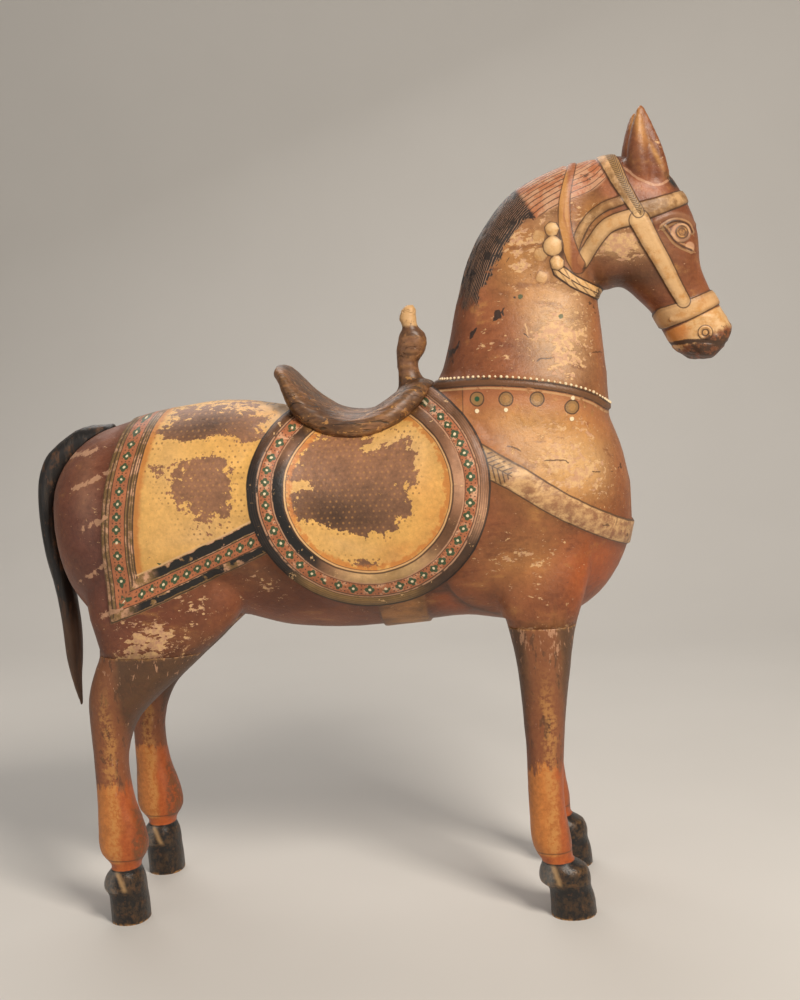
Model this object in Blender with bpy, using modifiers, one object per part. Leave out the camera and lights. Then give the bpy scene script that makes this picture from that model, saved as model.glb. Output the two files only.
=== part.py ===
"""A carved and painted wooden horse that stands on its four hooves, with a wooden saddle.

Metres, +Z up. The horse looks along +X, and its left flank faces +Y. The carved form is written as
shares of HEIGHT: a station of a loft is (low x, low z, high x, high z, half width), where low and
high are the two ends of the section in the horse's middle plane.
"""
import math

import bmesh
import bpy
import numpy as np

# Overall size and the sizes that are set by themselves, in metres
HEIGHT = 1.0
FIT_GAP = 0.0003
CLOTH_RAISE = 0.0045
RIM_RAISE = 0.0015
STRAP_RAISE = 0.0035
MANE_RAISE = 0.0035
EYE_RAISE = 0.004
NOSTRIL_DEPTH = 0.003
SHOULDER_RAISE = 0.003

# Places in the carving, as shares of HEIGHT
LEG_OUT = 0.092
LEG_LEAN = 0.014
LEG_LEAN_FROM = 0.290
LEG_LEAN_TO = 0.450
FORELEG_JOINT = 0.370
HINDLEG_JOINT = 0.350
LEG_ROOM = 0.025
LEG_INNER_SIDE = 0.042
EAR_OUT = 0.036
EAR_FAR_BACK = 0.004
EAR_TURN = 70
VOXEL = 0.004
FINE_VOXEL = 0.003

# Triangles left in the solids, and how far the plain parts give theirs up to the face
HORSE_TRIANGLES = 7200
TAIL_TRIANGLES = 420
SADDLE_TRIANGLES = 1150
PLAIN_FACTOR = 0.01
FACE_PLAINNESS = 0.5

TRUNK = (
    (-0.425, 0.500, -0.425, 0.545, 0.020),
    (-0.418, 0.460, -0.418, 0.577, 0.062),
    (-0.400, 0.412, -0.400, 0.604, 0.092),
    (-0.368, 0.378, -0.368, 0.628, 0.114),
    (-0.320, 0.366, -0.320, 0.643, 0.127),
    (-0.260, 0.374, -0.260, 0.655, 0.132),
    (-0.190, 0.383, -0.190, 0.661, 0.131),
    (-0.120, 0.366, -0.120, 0.652, 0.129),
    (-0.040, 0.361, -0.040, 0.630, 0.130),
    (0.040, 0.366, 0.040, 0.638, 0.134),
    (0.110, 0.371, 0.110, 0.675, 0.137),
    (0.170, 0.363, 0.170, 0.690, 0.134),
    (0.230, 0.364, 0.230, 0.690, 0.118),
    (0.280, 0.394, 0.280, 0.660, 0.088),
    (0.312, 0.440, 0.312, 0.590, 0.050),
    (0.3245, 0.482, 0.3245, 0.536, 0.018),
)
NECK = (
    (0.250, 0.520, 0.000, 0.590, 0.118),
    (0.296, 0.600, 0.060, 0.645, 0.112),
    (0.3005, 0.665, 0.088, 0.683, 0.097),
    (0.2985, 0.690, 0.098, 0.712, 0.084),
    (0.296, 0.725, 0.108, 0.746, 0.071),
    (0.294, 0.750, 0.119, 0.784, 0.062),
    (0.292, 0.768, 0.131, 0.822, 0.056),
    (0.296, 0.790, 0.151, 0.860, 0.052),
    (0.310, 0.812, 0.187, 0.902, 0.049),
    (0.325, 0.840, 0.235, 0.927, 0.047),
    (0.345, 0.870, 0.290, 0.943, 0.043),
)
HEAD = (
    (0.262, 0.830, 0.275, 0.932, 0.036),
    (0.275, 0.797, 0.300, 0.943, 0.050),
    (0.297, 0.779, 0.335, 0.943, 0.057),
    (0.322, 0.782, 0.378, 0.926, 0.058),
    (0.345, 0.763, 0.403, 0.890, 0.054),
    (0.362, 0.743, 0.4185, 0.848, 0.046),
    (0.371, 0.725, 0.4210, 0.806, 0.039),
    (0.381, 0.707, 0.4305, 0.777, 0.035),
    (0.3955, 0.693, 0.4440, 0.752, 0.034),
    (0.414, 0.687, 0.4545, 0.733, 0.032),
    (0.430, 0.687, 0.4575, 0.721, 0.027),
    (0.439, 0.692, 0.4540, 0.712, 0.015),
)
EAR = (
    (0.342, 0.888, 0.380, 0.880, 0.014),
    (0.3345, 0.917, 0.385, 0.912, 0.018),
    (0.3330, 0.942, 0.3805, 0.938, 0.019),
    (0.3365, 0.964, 0.3725, 0.961, 0.0165),
    (0.3425, 0.985, 0.3630, 0.983, 0.012),
    (0.3490, 1.0012, 0.3555, 1.0000, 0.005),
)
FORELEG = (
    (0.140, 0.475, 0.275, 0.475, 0.034),
    (0.146, 0.435, 0.268, 0.435, 0.040),
    (0.152, 0.405, 0.260, 0.405, 0.042),
    (0.161, 0.375, 0.250, 0.375, 0.040),
    (0.168, 0.345, 0.243, 0.345, 0.037),
    (0.173, 0.310, 0.238, 0.310, 0.034),
    (0.177, 0.260, 0.231, 0.260, 0.030),
    (0.1795, 0.210, 0.2265, 0.210, 0.027),
    (0.179, 0.160, 0.224, 0.160, 0.0255),
    (0.180, 0.125, 0.2265, 0.125, 0.026),
    (0.181, 0.097, 0.231, 0.097, 0.0265),
    (0.187, 0.080, 0.2315, 0.080, 0.0245),
    (0.194, 0.069, 0.2335, 0.069, 0.0235),
    (0.190, 0.060, 0.2490, 0.060, 0.0280),
    (0.189, 0.044, 0.2540, 0.044, 0.0310),
    (0.200, 0.036, 0.2530, 0.036, 0.0285),
    (0.2015, 0.018, 0.2580, 0.018, 0.0305),
    (0.2015, -0.012, 0.2600, -0.012, 0.0315),
)
HINDLEG = (
    (-0.380, 0.500, -0.190, 0.500, 0.036),
    (-0.380, 0.455, -0.170, 0.455, 0.043),
    (-0.376, 0.420, -0.166, 0.420, 0.046),
    (-0.371, 0.392, -0.178, 0.392, 0.047),
    (-0.364, 0.370, -0.199, 0.370, 0.046),
    (-0.360, 0.350, -0.222, 0.350, 0.045),
    (-0.367, 0.330, -0.243, 0.330, 0.043),
    (-0.374, 0.309, -0.268, 0.309, 0.040),
    (-0.378, 0.290, -0.290, 0.290, 0.038),
    (-0.378, 0.268, -0.312, 0.268, 0.033),
    (-0.377, 0.240, -0.3265, 0.240, 0.028),
    (-0.3765, 0.205, -0.3335, 0.205, 0.025),
    (-0.3765, 0.160, -0.3290, 0.160, 0.025),
    (-0.3775, 0.130, -0.3200, 0.130, 0.027),
    (-0.3785, 0.103, -0.3145, 0.103, 0.028),
    (-0.3755, 0.089, -0.3165, 0.089, 0.027),
    (-0.3650, 0.077, -0.3245, 0.077, 0.024),
    (-0.3640, 0.069, -0.3270, 0.069, 0.0235),
    (-0.3720, 0.060, -0.3230, 0.060, 0.0275),
    (-0.3760, 0.046, -0.3210, 0.046, 0.0300),
    (-0.3700, 0.036, -0.3205, 0.036, 0.0285),
    (-0.3690, 0.018, -0.3190, 0.018, 0.0300),
    (-0.3680, -0.012, -0.3190, -0.012, 0.0310),
)
TAIL = (
    (-0.343, 0.612, -0.346, 0.640, 0.015),
    (-0.378, 0.602, -0.390, 0.637, 0.018),
    (-0.398, 0.592, -0.424, 0.617, 0.020),
    (-0.411, 0.576, -0.446, 0.594, 0.021),
    (-0.423, 0.553, -0.456, 0.561, 0.022),
    (-0.430, 0.515, -0.4570, 0.518, 0.022),
    (-0.427, 0.475, -0.4525, 0.472, 0.021),
    (-0.418, 0.430, -0.4430, 0.425, 0.020),
    (-0.413, 0.380, -0.4370, 0.378, 0.019),
    (-0.414, 0.335, -0.4345, 0.331, 0.016),
    (-0.4175, 0.300, -0.4290, 0.296, 0.011),
    (-0.4185, 0.262, -0.4205, 0.261, 0.003),
)
SEAT = (
    (-0.1255, 0.692, -0.120, 0.7070, 0.036),
    (-0.1160, 0.677, -0.107, 0.7010, 0.057),
    (-0.1070, 0.652, -0.092, 0.6845, 0.070),
    (-0.0880, 0.624, -0.073, 0.6665, 0.077),
    (-0.0600, 0.608, -0.050, 0.6510, 0.081),
    (-0.0300, 0.601, -0.026, 0.6440, 0.083),
    (0.0000, 0.602, -0.002, 0.6450, 0.083),
    (0.0330, 0.612, 0.020, 0.6570, 0.078),
    (0.0560, 0.628, 0.042, 0.6720, 0.066),
    (0.0740, 0.648, 0.062, 0.6790, 0.048),
    (0.0830, 0.664, 0.076, 0.6760, 0.026),
)
FINIAL = (
    (0.028, 0.648, 0.084, 0.648, 0.028),
    (0.032, 0.667, 0.0745, 0.667, 0.020),
    (0.0335, 0.685, 0.0625, 0.685, 0.0145),
    (0.0325, 0.700, 0.0600, 0.700, 0.0130),
    (0.0325, 0.712, 0.0680, 0.712, 0.0145),
    (0.0340, 0.725, 0.0725, 0.725, 0.0155),
    (0.0375, 0.737, 0.0700, 0.737, 0.0150),
    (0.0420, 0.746, 0.0620, 0.746, 0.0115),
    (0.0380, 0.757, 0.0605, 0.757, 0.0105),
    (0.0410, 0.767, 0.0605, 0.767, 0.0085),
    (0.0480, 0.774, 0.0570, 0.774, 0.0050),
)

# Carved bands: the routes are in the side view, as shares of HEIGHT
FLAP_MIDDLE = (0.001, 0.553)
FLAP_RADIUS = 0.150
FLAP_BORDER = 0.047
RUMP_CLOTH_LOW = ((-0.330, 0.395), (-0.144, 0.464))
RUMP_CLOTH_REAR = (-0.339, 0.470)
RUMP_CLOTH_SWEEP = 0.9
BREAST_STRAP = ((0.140, 0.580), (0.186, 0.552), (0.234, 0.520), (0.283, 0.491), (0.335, 0.472))
NECK_BAND = ((0.070, 0.669), (0.141, 0.670), (0.191, 0.667), (0.240, 0.660), (0.276, 0.650), (0.310, 0.636))
GIRTH = (0.003, 0.062)
COLLAR = ((0.263, 0.950), (0.251, 0.891), (0.251, 0.854), (0.262, 0.806), (0.292, 0.776))
CROWN_STRAP = ((0.310, 0.945), (0.329, 0.892), (0.338, 0.866))
CHEEK_STRAP = ((0.338, 0.866), (0.396, 0.760))
BROW_BAND = ((0.345, 0.872), (0.410, 0.877))
THROAT_STRAP = ((0.330, 0.864), (0.302, 0.853), (0.286, 0.834), (0.272, 0.812))
NOSE_BAND = ((0.372, 0.738), (0.404, 0.749), (0.445, 0.763))
CREST = ((0.092, 0.700), (0.108, 0.746), (0.131, 0.822), (0.151, 0.860), (0.187, 0.902), (0.235, 0.927),
         (0.285, 0.944))
EYE = (0.402, 0.834)
NOSTRIL = (0.421, 0.719)
SHOULDER_MIDDLE = (0.165, 0.458)
SHOULDER_RADIUS = 0.080


def clear_scene():
    """Removes the objects of the scene that is open."""
    for old in list(bpy.data.objects):
        bpy.data.objects.remove(old, do_unlink=True)


def curve_through(rows, steps):
    """Rows on a smooth curve through the given rows, steps of them to each span."""
    knots = np.array(rows, dtype=float)
    slopes = np.gradient(knots, axis=0)
    share = np.arange(steps)[:, None] / steps
    spans = []
    for start, end, leave, arrive in zip(knots[:-1], knots[1:], slopes[:-1], slopes[1:]):
        spans.append((2 * share**3 - 3 * share**2 + 1) * start + (share**3 - 2 * share**2 + share) * leave
                     + (3 * share**2 - 2 * share**3) * end + (share**3 - share**2) * arrive)
    return np.vstack(spans + [knots[-1:]])


def ramp(value, start, end):
    """Rises smoothly from 0 at start to 1 at end."""
    share = np.clip((value - start) / (end - start), 0, 1)
    return share * share * (3 - 2 * share)


def add_loft(mesh, stations, middle_y=0.0, squareness=2.2, steps=4, sides=36, hollow=0.0, hollow_turn=0.0,
             lean=0.0):
    """Adds a closed loft to a bmesh.

    Hollow dents each ring at the angle hollow_turn, as in an ear. Lean brings the top of a leg
    closer to the middle plane.
    """
    turns = np.arange(sides) * 2 * math.pi / sides
    across = np.sign(np.cos(turns)) * np.abs(np.cos(turns)) ** (2 / squareness)
    along = np.sign(np.sin(turns)) * np.abs(np.sin(turns)) ** (2 / squareness)
    away = np.angle(np.exp(1j * (turns - hollow_turn)))
    dent = 1 - hollow * np.exp(-(away / 0.6) ** 2)
    rings = []
    for low_x, low_z, high_x, high_z, half in curve_through(stations, steps):
        inward = lean * ramp((low_z + high_z) / 2, LEG_LEAN_FROM, LEG_LEAN_TO)
        middle = np.array(((low_x + high_x) / 2, middle_y - inward, (low_z + high_z) / 2))
        upward = np.array(((high_x - low_x) / 2, 0.0, (high_z - low_z) / 2))
        points = middle + np.outer(along * dent, upward) + np.outer(across * dent, (0.0, max(half, 0.001), 0.0))
        rings.append([mesh.verts.new(point * HEIGHT) for point in points])
    for ring, following in zip(rings[:-1], rings[1:]):
        for here in range(sides):
            beside = (here + 1) % sides
            mesh.faces.new((ring[here], ring[beside], following[beside], following[here]))
    mesh.faces.new(list(reversed(rings[0])))
    mesh.faces.new(rings[-1])


def object_from(name, mesh, collection):
    """Turns a bmesh into a named object with its faces pointing out."""
    bmesh.ops.recalc_face_normals(mesh, faces=mesh.faces)
    data = bpy.data.meshes.new(name)
    mesh.to_mesh(data)
    mesh.free()
    made = bpy.data.objects.new(name, data)
    collection.objects.link(made)
    return made


def bake_modifiers(made):
    """Replaces an object's mesh by what its modifiers make of it."""
    bpy.context.view_layer.update()
    evaluated = made.evaluated_get(bpy.context.evaluated_depsgraph_get())
    data = bpy.data.meshes.new_from_object(evaluated)
    made.modifiers.clear()
    made.data = data


def fuse(made, voxel):
    """Makes one skin out of overlapping lofts."""
    remesh = made.modifiers.new("One skin", "REMESH")
    remesh.mode = "VOXEL"
    remesh.voxel_size = voxel * HEIGHT
    bake_modifiers(made)


def thin_out(made, triangles, plain=None):
    """Leaves about that many triangles where the form needs them, and fewer where plain is high."""
    made.data.calc_loop_triangles()
    decimate = made.modifiers.new("Facets", "DECIMATE")
    decimate.ratio = min(1.0, triangles / len(made.data.loop_triangles))
    if plain is not None:
        group = made.vertex_groups.new(name="Plain")
        for level in np.unique(plain):
            group.add(np.nonzero(plain == level)[0].tolist(), float(level), "REPLACE")
        decimate.vertex_group = group.name
        decimate.vertex_group_factor = PLAIN_FACTOR
    bake_modifiers(made)
    made.vertex_groups.clear()


def places_of(data):
    """The vertices of a mesh as an array."""
    places = np.empty(len(data.vertices) * 3)
    data.vertices.foreach_get("co", places)
    return places.reshape(-1, 3)


def move_to(data, places):
    """Writes an array of vertices back to a mesh."""
    data.vertices.foreach_set("co", places.ravel())
    data.update()


def relax(data, rounds, amount):
    """Smooths a mesh without shrinking it. The amount is a share for each vertex."""
    edges = np.empty(len(data.edges) * 2, dtype=np.int64)
    data.edges.foreach_get("vertices", edges)
    first, second = edges.reshape(-1, 2).T
    count = len(data.vertices)
    neighbours = np.bincount(np.concatenate((first, second)), minlength=count)[:, None]
    places = places_of(data)
    for step in range(rounds * 2):
        total = np.empty_like(places)
        for axis in range(3):
            column = places[:, axis]
            total[:, axis] = (np.bincount(first, column[second], minlength=count)
                              + np.bincount(second, column[first], minlength=count))
        strength = 0.5 if step % 2 == 0 else -0.52
        places = places + strength * amount[:, None] * (total / neighbours - places)
    move_to(data, places)


def away_from(route, x, z):
    """Distance in the side view from points to a line through the route's points."""
    nearest = np.full(len(x), 9.0)
    for (x0, z0), (x1, z1) in zip(route[:-1], route[1:]):
        run, rise = x1 - x0, z1 - z0
        share = np.clip(((x - x0) * run + (z - z0) * rise) / (run * run + rise * rise), 0, 1)
        nearest = np.minimum(nearest, np.hypot(x - x0 - share * run, z - z0 - share * rise))
    return nearest


def band(route, half, x, z):
    """1 on a strap along the route and 0 beside it."""
    return 1 - ramp(away_from(route, x, z), half - 0.0015, half + 0.0025)


def cloth_masks(x, z):
    """The round saddle cloth, its border, and the cloth over the rump, each from 0 to 1."""
    inward = FLAP_RADIUS - np.hypot(x - FLAP_MIDDLE[0], z - FLAP_MIDDLE[1])
    flap = ramp(inward, 0.0, 0.004)
    border = ramp(inward, 0.0, 0.003) - ramp(inward, FLAP_BORDER, FLAP_BORDER + 0.004)
    rear = x - RUMP_CLOTH_REAR[0] - RUMP_CLOTH_SWEEP * (z - RUMP_CLOTH_REAR[1]) ** 2
    (x0, z0), (x1, z1) = RUMP_CLOTH_LOW
    above = z - z0 - (x - x0) * (z1 - z0) / (x1 - x0)
    rump = ramp(np.minimum(rear, above), 0.0, 0.004) * (x < FLAP_MIDDLE[0])
    return flap, border, rump


def carve(made):
    """Raises the cloths, straps, mane and eyes on the smooth form, and sinks the nostrils."""
    data = made.data
    places = places_of(data)
    normals = np.empty(len(places) * 3)
    data.vertex_normals.foreach_get("vector", normals)
    normals = normals.reshape(-1, 3)
    x, y, z = (places / HEIGHT).T
    flap, border, rump = cloth_masks(x, z)
    girth = ramp(x, GIRTH[0] - 0.002, GIRTH[0] + 0.002) - ramp(x, GIRTH[1] - 0.002, GIRTH[1] + 0.002)
    cloth = CLOTH_RAISE * np.maximum(flap, rump * 0.7) + RIM_RAISE * border
    straps = np.zeros(len(places))
    straps = np.maximum(straps, girth * (z < 0.43))
    straps = np.maximum(straps, band(BREAST_STRAP, 0.017, x, z) * (x > 0.12))
    straps = np.maximum(straps, band(NECK_BAND, 0.006, x, z) * (z > 0.6))
    on_head = x > 0.22
    for route, half in ((COLLAR, 0.009), (CROWN_STRAP, 0.009), (CHEEK_STRAP, 0.009), (BROW_BAND, 0.008),
                        (THROAT_STRAP, 0.009), (NOSE_BAND, 0.010)):
        straps = np.maximum(straps, band(route, half, x, z) * on_head * 0.8)
    head_and_ear = (x > 0.33) & (z > 0.915) & (np.abs(y) > 0.012)
    straps[head_and_ear] = 0
    mane = band(CREST, 0.026, x, z) * ramp(z, 0.72, 0.77) * (x < 0.262)
    eye = 1 - ramp(np.hypot((x - EYE[0]) / 0.016, (z - EYE[1]) / 0.010), 0.5, 1.25)
    nostril = 1 - ramp(np.hypot(x - NOSTRIL[0], z - NOSTRIL[1]), 0.003, 0.009)
    height = np.maximum(cloth, STRAP_RAISE * straps)
    height = np.maximum(height, MANE_RAISE * mane)
    from_shoulder = np.hypot(x - SHOULDER_MIDDLE[0], z - SHOULDER_MIDDLE[1])
    lobe = ramp(SHOULDER_RADIUS - from_shoulder, 0.0, 0.004) * ramp(from_shoulder, 0.015, 0.06)
    height += SHOULDER_RAISE * lobe * ramp(0.20 - x, 0.0, 0.03) * ramp(0.470 - z, 0.0, 0.05) * (z > 0.372)
    height += EYE_RAISE * eye * (np.abs(y) > 0.02)
    height -= NOSTRIL_DEPTH * nostril * (np.abs(y) > 0.012)
    move_to(data, places + normals * height[:, None])


def softness(data):
    """How far each vertex may be smoothed: less on the head, the ears and the hooves."""
    x, _, z = (places_of(data) / HEIGHT).T
    firm = (z < 0.10) | ((x > 0.31) & (z > 0.67))
    return np.where(firm, 0.35, 1.0)


def plain_parts(data):
    """1 where the carving is plain, and less on the face."""
    x, _, z = (places_of(data) / HEIGHT).T
    return np.where((x > 0.36) & (z > 0.69) & (z < 0.89), FACE_PLAINNESS, 1.0)


def ear_stations(side):
    """The ear's loft. The far ear is carved a little further back."""
    back = EAR_FAR_BACK if side > 0 else 0.0
    return [(low_x - back, low_z, high_x - back, high_z, half) for low_x, low_z, high_x, high_z, half in EAR]


def make_horse(collection):
    """The whole carved figure in one skin, before its legs are parted from it."""
    mesh = bmesh.new()
    add_loft(mesh, TRUNK, squareness=2.15, sides=48)
    add_loft(mesh, NECK, squareness=2.3)
    add_loft(mesh, HEAD, squareness=2.3)
    for side in (-1, 1):
        add_loft(mesh, ear_stations(side), middle_y=side * EAR_OUT, squareness=2.0, sides=24, hollow=0.55,
                 hollow_turn=math.radians(90 - side * EAR_TURN))
        add_loft(mesh, FORELEG, middle_y=side * LEG_OUT, squareness=2.2, sides=28, lean=side * LEG_LEAN)
        add_loft(mesh, HINDLEG, middle_y=side * LEG_OUT, squareness=2.2, sides=28, lean=side * LEG_LEAN)
    horse = object_from("horse", mesh, collection)
    fuse(horse, VOXEL)
    relax(horse.data, 14, softness(horse.data))
    carve(horse)
    relax(horse.data, 1, np.full(len(horse.data.vertices), 0.6))
    thin_out(horse, HORSE_TRIANGLES, plain_parts(horse.data))
    return horse


def make_box(name, low, high, cutters):
    """A box between two corners, used to cut with."""
    mesh = bmesh.new()
    bmesh.ops.create_cube(mesh, size=1.0)
    for vertex in mesh.verts:
        for axis in range(3):
            vertex.co[axis] = high[axis] if vertex.co[axis] > 0 else low[axis]
    box = object_from(name, mesh, cutters)
    box.hide_render = True
    box.display_type = "WIRE"
    return box


def cut(made, operation, cutter):
    """One exact Boolean, baked at once."""
    boolean = made.modifiers.new(operation.title(), "BOOLEAN")
    boolean.operation = operation
    boolean.solver = "EXACT"
    boolean.object = cutter
    bake_modifiers(made)


def leg_box(name, stations, joint, side, gap, cutters):
    """The block of space that holds one leg, up to its joint and smaller by gap on each face."""
    below = [station for station in stations if station[1] <= joint]
    rear = min(station[0] for station in below) - LEG_ROOM
    front = max(station[2] for station in below) + LEG_ROOM
    inner = side * (LEG_INNER_SIDE * HEIGHT + gap)
    outer = side * 0.3 * HEIGHT
    low = (rear * HEIGHT + gap, min(inner, outer), 0.0 if gap else -0.1 * HEIGHT)
    high = (front * HEIGHT - gap, max(inner, outer), joint * HEIGHT - gap)
    return make_box(name, low, high, cutters)


def copy_of(made, name, collection):
    """A copy of an object with a mesh of its own."""
    twin = bpy.data.objects.new(name, made.data.copy())
    collection.objects.link(twin)
    return twin


def inflated(made, name, by, cutters):
    """A copy that is larger all round by a fixed distance, used to cut with."""
    twin = copy_of(made, name, cutters)
    places = places_of(twin.data)
    normals = np.empty(len(places) * 3)
    twin.data.vertex_normals.foreach_get("vector", normals)
    move_to(twin.data, places + normals.reshape(-1, 3) * by)
    twin.hide_render = True
    twin.display_type = "WIRE"
    return twin


def make_tail(collection, body_mould):
    """The tail, which hangs against the rump."""
    mesh = bmesh.new()
    add_loft(mesh, TAIL, squareness=2.0, sides=24)
    tail = object_from("tail", mesh, collection)
    fuse(tail, FINE_VOXEL)
    relax(tail.data, 4, np.full(len(tail.data.vertices), 0.8))
    thin_out(tail, TAIL_TRIANGLES)
    cut(tail, "DIFFERENCE", body_mould)
    return tail


def make_saddle(collection, body_mould):
    """The wooden saddle with its finial, seated on the saddle cloth."""
    mesh = bmesh.new()
    add_loft(mesh, SEAT, squareness=2.6, sides=36)
    add_loft(mesh, FINIAL, squareness=2.0, sides=24)
    saddle = object_from("saddle", mesh, collection)
    fuse(saddle, FINE_VOXEL)
    relax(saddle.data, 4, np.full(len(saddle.data.vertices), 0.7))
    thin_out(saddle, SADDLE_TRIANGLES)
    cut(saddle, "DIFFERENCE", body_mould)
    return saddle


def paint(made, colour, roughness):
    """A plain painted-wood material of the object's own."""
    material = bpy.data.materials.new(made.name)
    material.use_nodes = True
    shader = material.node_tree.nodes["Principled BSDF"]
    shader.inputs["Base Color"].default_value = (*colour, 1.0)
    shader.inputs["Roughness"].default_value = roughness
    shader.inputs["Metallic"].default_value = 0.0
    made.data.materials.clear()
    made.data.materials.append(material)


def largest_body(made):
    """Drops the crumbs that a cut can leave and keeps the largest body."""
    mesh = bmesh.new()
    mesh.from_mesh(made.data)
    bmesh.ops.remove_doubles(mesh, verts=mesh.verts, dist=0.000001)
    left = set(mesh.verts)
    bodies = []
    while left:
        seed = left.pop()
        body = {seed}
        edge_of_body = [seed]
        while edge_of_body:
            vertex = edge_of_body.pop()
            for edge in vertex.link_edges:
                other = edge.other_vert(vertex)
                if other in left:
                    left.remove(other)
                    body.add(other)
                    edge_of_body.append(other)
        bodies.append(body)
    keep = max(bodies, key=len)
    bmesh.ops.delete(mesh, geom=[vertex for vertex in mesh.verts if vertex not in keep], context="VERTS")
    mesh.to_mesh(made.data)
    mesh.free()


def centre(pieces):
    """Moves the pieces so that the origin is under the middle of the whole."""
    everything = np.vstack([places_of(piece.data) for piece in pieces])
    middle = (everything.min(axis=0) + everything.max(axis=0)) / 2
    shift = np.array((middle[0], middle[1], everything[:, 2].min()))
    for piece in pieces:
        move_to(piece.data, places_of(piece.data) - shift)


def main():
    """Builds the seven pieces."""
    clear_scene()
    pieces_in = bpy.data.collections.new("Horse statue")
    cutters = bpy.data.collections.new("Cutters")
    bpy.context.scene.collection.children.link(pieces_in)
    bpy.context.scene.collection.children.link(cutters)
    horse = make_horse(pieces_in)
    body = copy_of(horse, "body", pieces_in)
    legs = []
    for kind, stations, joint in (("foreleg", FORELEG, FORELEG_JOINT), ("hindleg", HINDLEG, HINDLEG_JOINT)):
        for place, side in (("near", -1), ("far", 1)):
            name = kind + "_" + place
            cut(body, "DIFFERENCE", leg_box(name + "_socket", stations, joint, side, 0.0, cutters))
            leg = copy_of(horse, name, pieces_in)
            cut(leg, "INTERSECT", leg_box(name + "_block", stations, joint, side, FIT_GAP, cutters))
            legs.append(leg)
    bpy.data.objects.remove(horse, do_unlink=True)
    largest_body(body)
    body_mould = inflated(body, "body_mould", 2 * FIT_GAP, cutters)
    tail = make_tail(pieces_in, body_mould)
    saddle = make_saddle(pieces_in, body_mould)
    pieces = [body, *legs, tail, saddle]
    for piece in pieces:
        largest_body(piece)
        piece.data.shade_smooth()
        piece.data.set_sharp_from_angle(angle=math.radians(40))
    centre(pieces)
    paint(body, (0.36, 0.13, 0.07), 0.55)
    for leg in legs:
        paint(leg, (0.42, 0.13, 0.05), 0.5)
    paint(tail, (0.03, 0.03, 0.035), 0.6)
    paint(saddle, (0.12, 0.06, 0.035), 0.5)


main()
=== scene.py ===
"""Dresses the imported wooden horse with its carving, worn paint, hooves, tail and saddle wood.

Metres, +Z up. The horse looks along +X and its left flank faces +Y. The carved form is the same set
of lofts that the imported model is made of, at a finer pitch, so every piece keeps its solid's form.
"""

import logging
import math
from dataclasses import dataclass, field
from enum import Enum
from typing import Optional, Union

import bmesh
import bpy
import numpy as np
from mathutils import Matrix, Vector
from mathutils.bvhtree import BVHTree

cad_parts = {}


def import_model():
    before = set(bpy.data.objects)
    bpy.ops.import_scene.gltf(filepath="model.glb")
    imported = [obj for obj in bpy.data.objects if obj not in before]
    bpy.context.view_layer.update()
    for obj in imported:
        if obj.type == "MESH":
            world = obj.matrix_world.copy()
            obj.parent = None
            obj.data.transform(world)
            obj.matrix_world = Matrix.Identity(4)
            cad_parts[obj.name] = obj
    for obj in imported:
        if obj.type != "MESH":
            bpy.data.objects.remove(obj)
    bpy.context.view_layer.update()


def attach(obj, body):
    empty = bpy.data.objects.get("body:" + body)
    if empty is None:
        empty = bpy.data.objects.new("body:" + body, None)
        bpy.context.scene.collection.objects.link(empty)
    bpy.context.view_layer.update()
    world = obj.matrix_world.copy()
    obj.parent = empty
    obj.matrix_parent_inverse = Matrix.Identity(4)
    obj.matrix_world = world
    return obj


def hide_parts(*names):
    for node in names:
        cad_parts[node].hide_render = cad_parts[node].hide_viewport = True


log = logging.getLogger("horse")

Array = np.ndarray
Station = tuple[float, float, float, float, float]
Route = tuple[tuple[float, float], ...]
Colour = tuple[float, float, float]
Patch = tuple[float, float, float, float, float, float]

OUT_OF_REACH = 9.0
SHARP_BEND = 70.0
SHORTEST_EDGE = 0.0015


class Slot(Enum):
    """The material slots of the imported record."""

    PAINTED_WOOD = "painted_wood"
    LEG_PAINT = "leg_paint"
    TAIL_PAINT = "tail_paint"
    SADDLE_WOOD = "saddle_wood"


class Side(Enum):
    """The two flanks, by the sign of Y."""

    NEAR = -1
    FAR = 1


# Shapes worked out on arrays


def ramp(value: Array, start: float, end: float) -> Array:
    """Rises smoothly from 0 to 1.

    Args:
        value: The values to grade.
        start: Where the rise begins.
        end: Where it is complete. It may be lower than start.

    Returns:
        The graded values, from 0 to 1.
    """
    share = np.clip((value - start) / (end - start), 0, 1)
    return share * share * (3 - 2 * share)


def curve_through(rows: Union[Array, tuple], steps: int) -> Array:
    """A smooth curve through rows of numbers.

    Args:
        rows: The rows that the curve passes through.
        steps: How many rows it has to each span.

    Returns:
        The rows of the curve.
    """
    knots = np.array(rows, dtype=float)
    slopes = np.gradient(knots, axis=0)
    share = np.arange(steps)[:, None] / steps
    spans = []
    for start, end, leave, arrive in zip(knots[:-1], knots[1:], slopes[:-1], slopes[1:]):
        spans.append((2 * share**3 - 3 * share**2 + 1) * start + (share**3 - 2 * share**2 + share) * leave
                     + (3 * share**2 - 2 * share**3) * end + (share**3 - share**2) * arrive)
    return np.vstack(spans + [knots[-1:]])


def clouds(places: Array, size: float, seed: int, octaves: int = 3) -> Array:
    """Soft random variation over the surface.

    Args:
        places: The points, one row each.
        size: The width of the largest clouds.
        seed: Which clouds they are.
        octaves: How many finer layers are added.

    Returns:
        Values around 0, mostly between -1 and 1.
    """
    table = np.random.default_rng(seed).uniform(-1, 1, (32, 32, 32))
    total = np.zeros(len(places))
    for octave in range(octaves):
        grid = places / size * 2**octave + 7.3 * octave
        base = np.floor(grid).astype(int)
        share = grid - base
        share = share * share * (3 - 2 * share)
        for corner in range(8):
            offset = np.array((corner & 1, corner >> 1 & 1, corner >> 2 & 1))
            weight = np.prod(np.where(offset == 1, share, 1 - share), axis=1)
            cell = (base + offset) % 32
            total += table[cell[:, 0], cell[:, 1], cell[:, 2]] * weight / 2**octave
    return total


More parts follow.
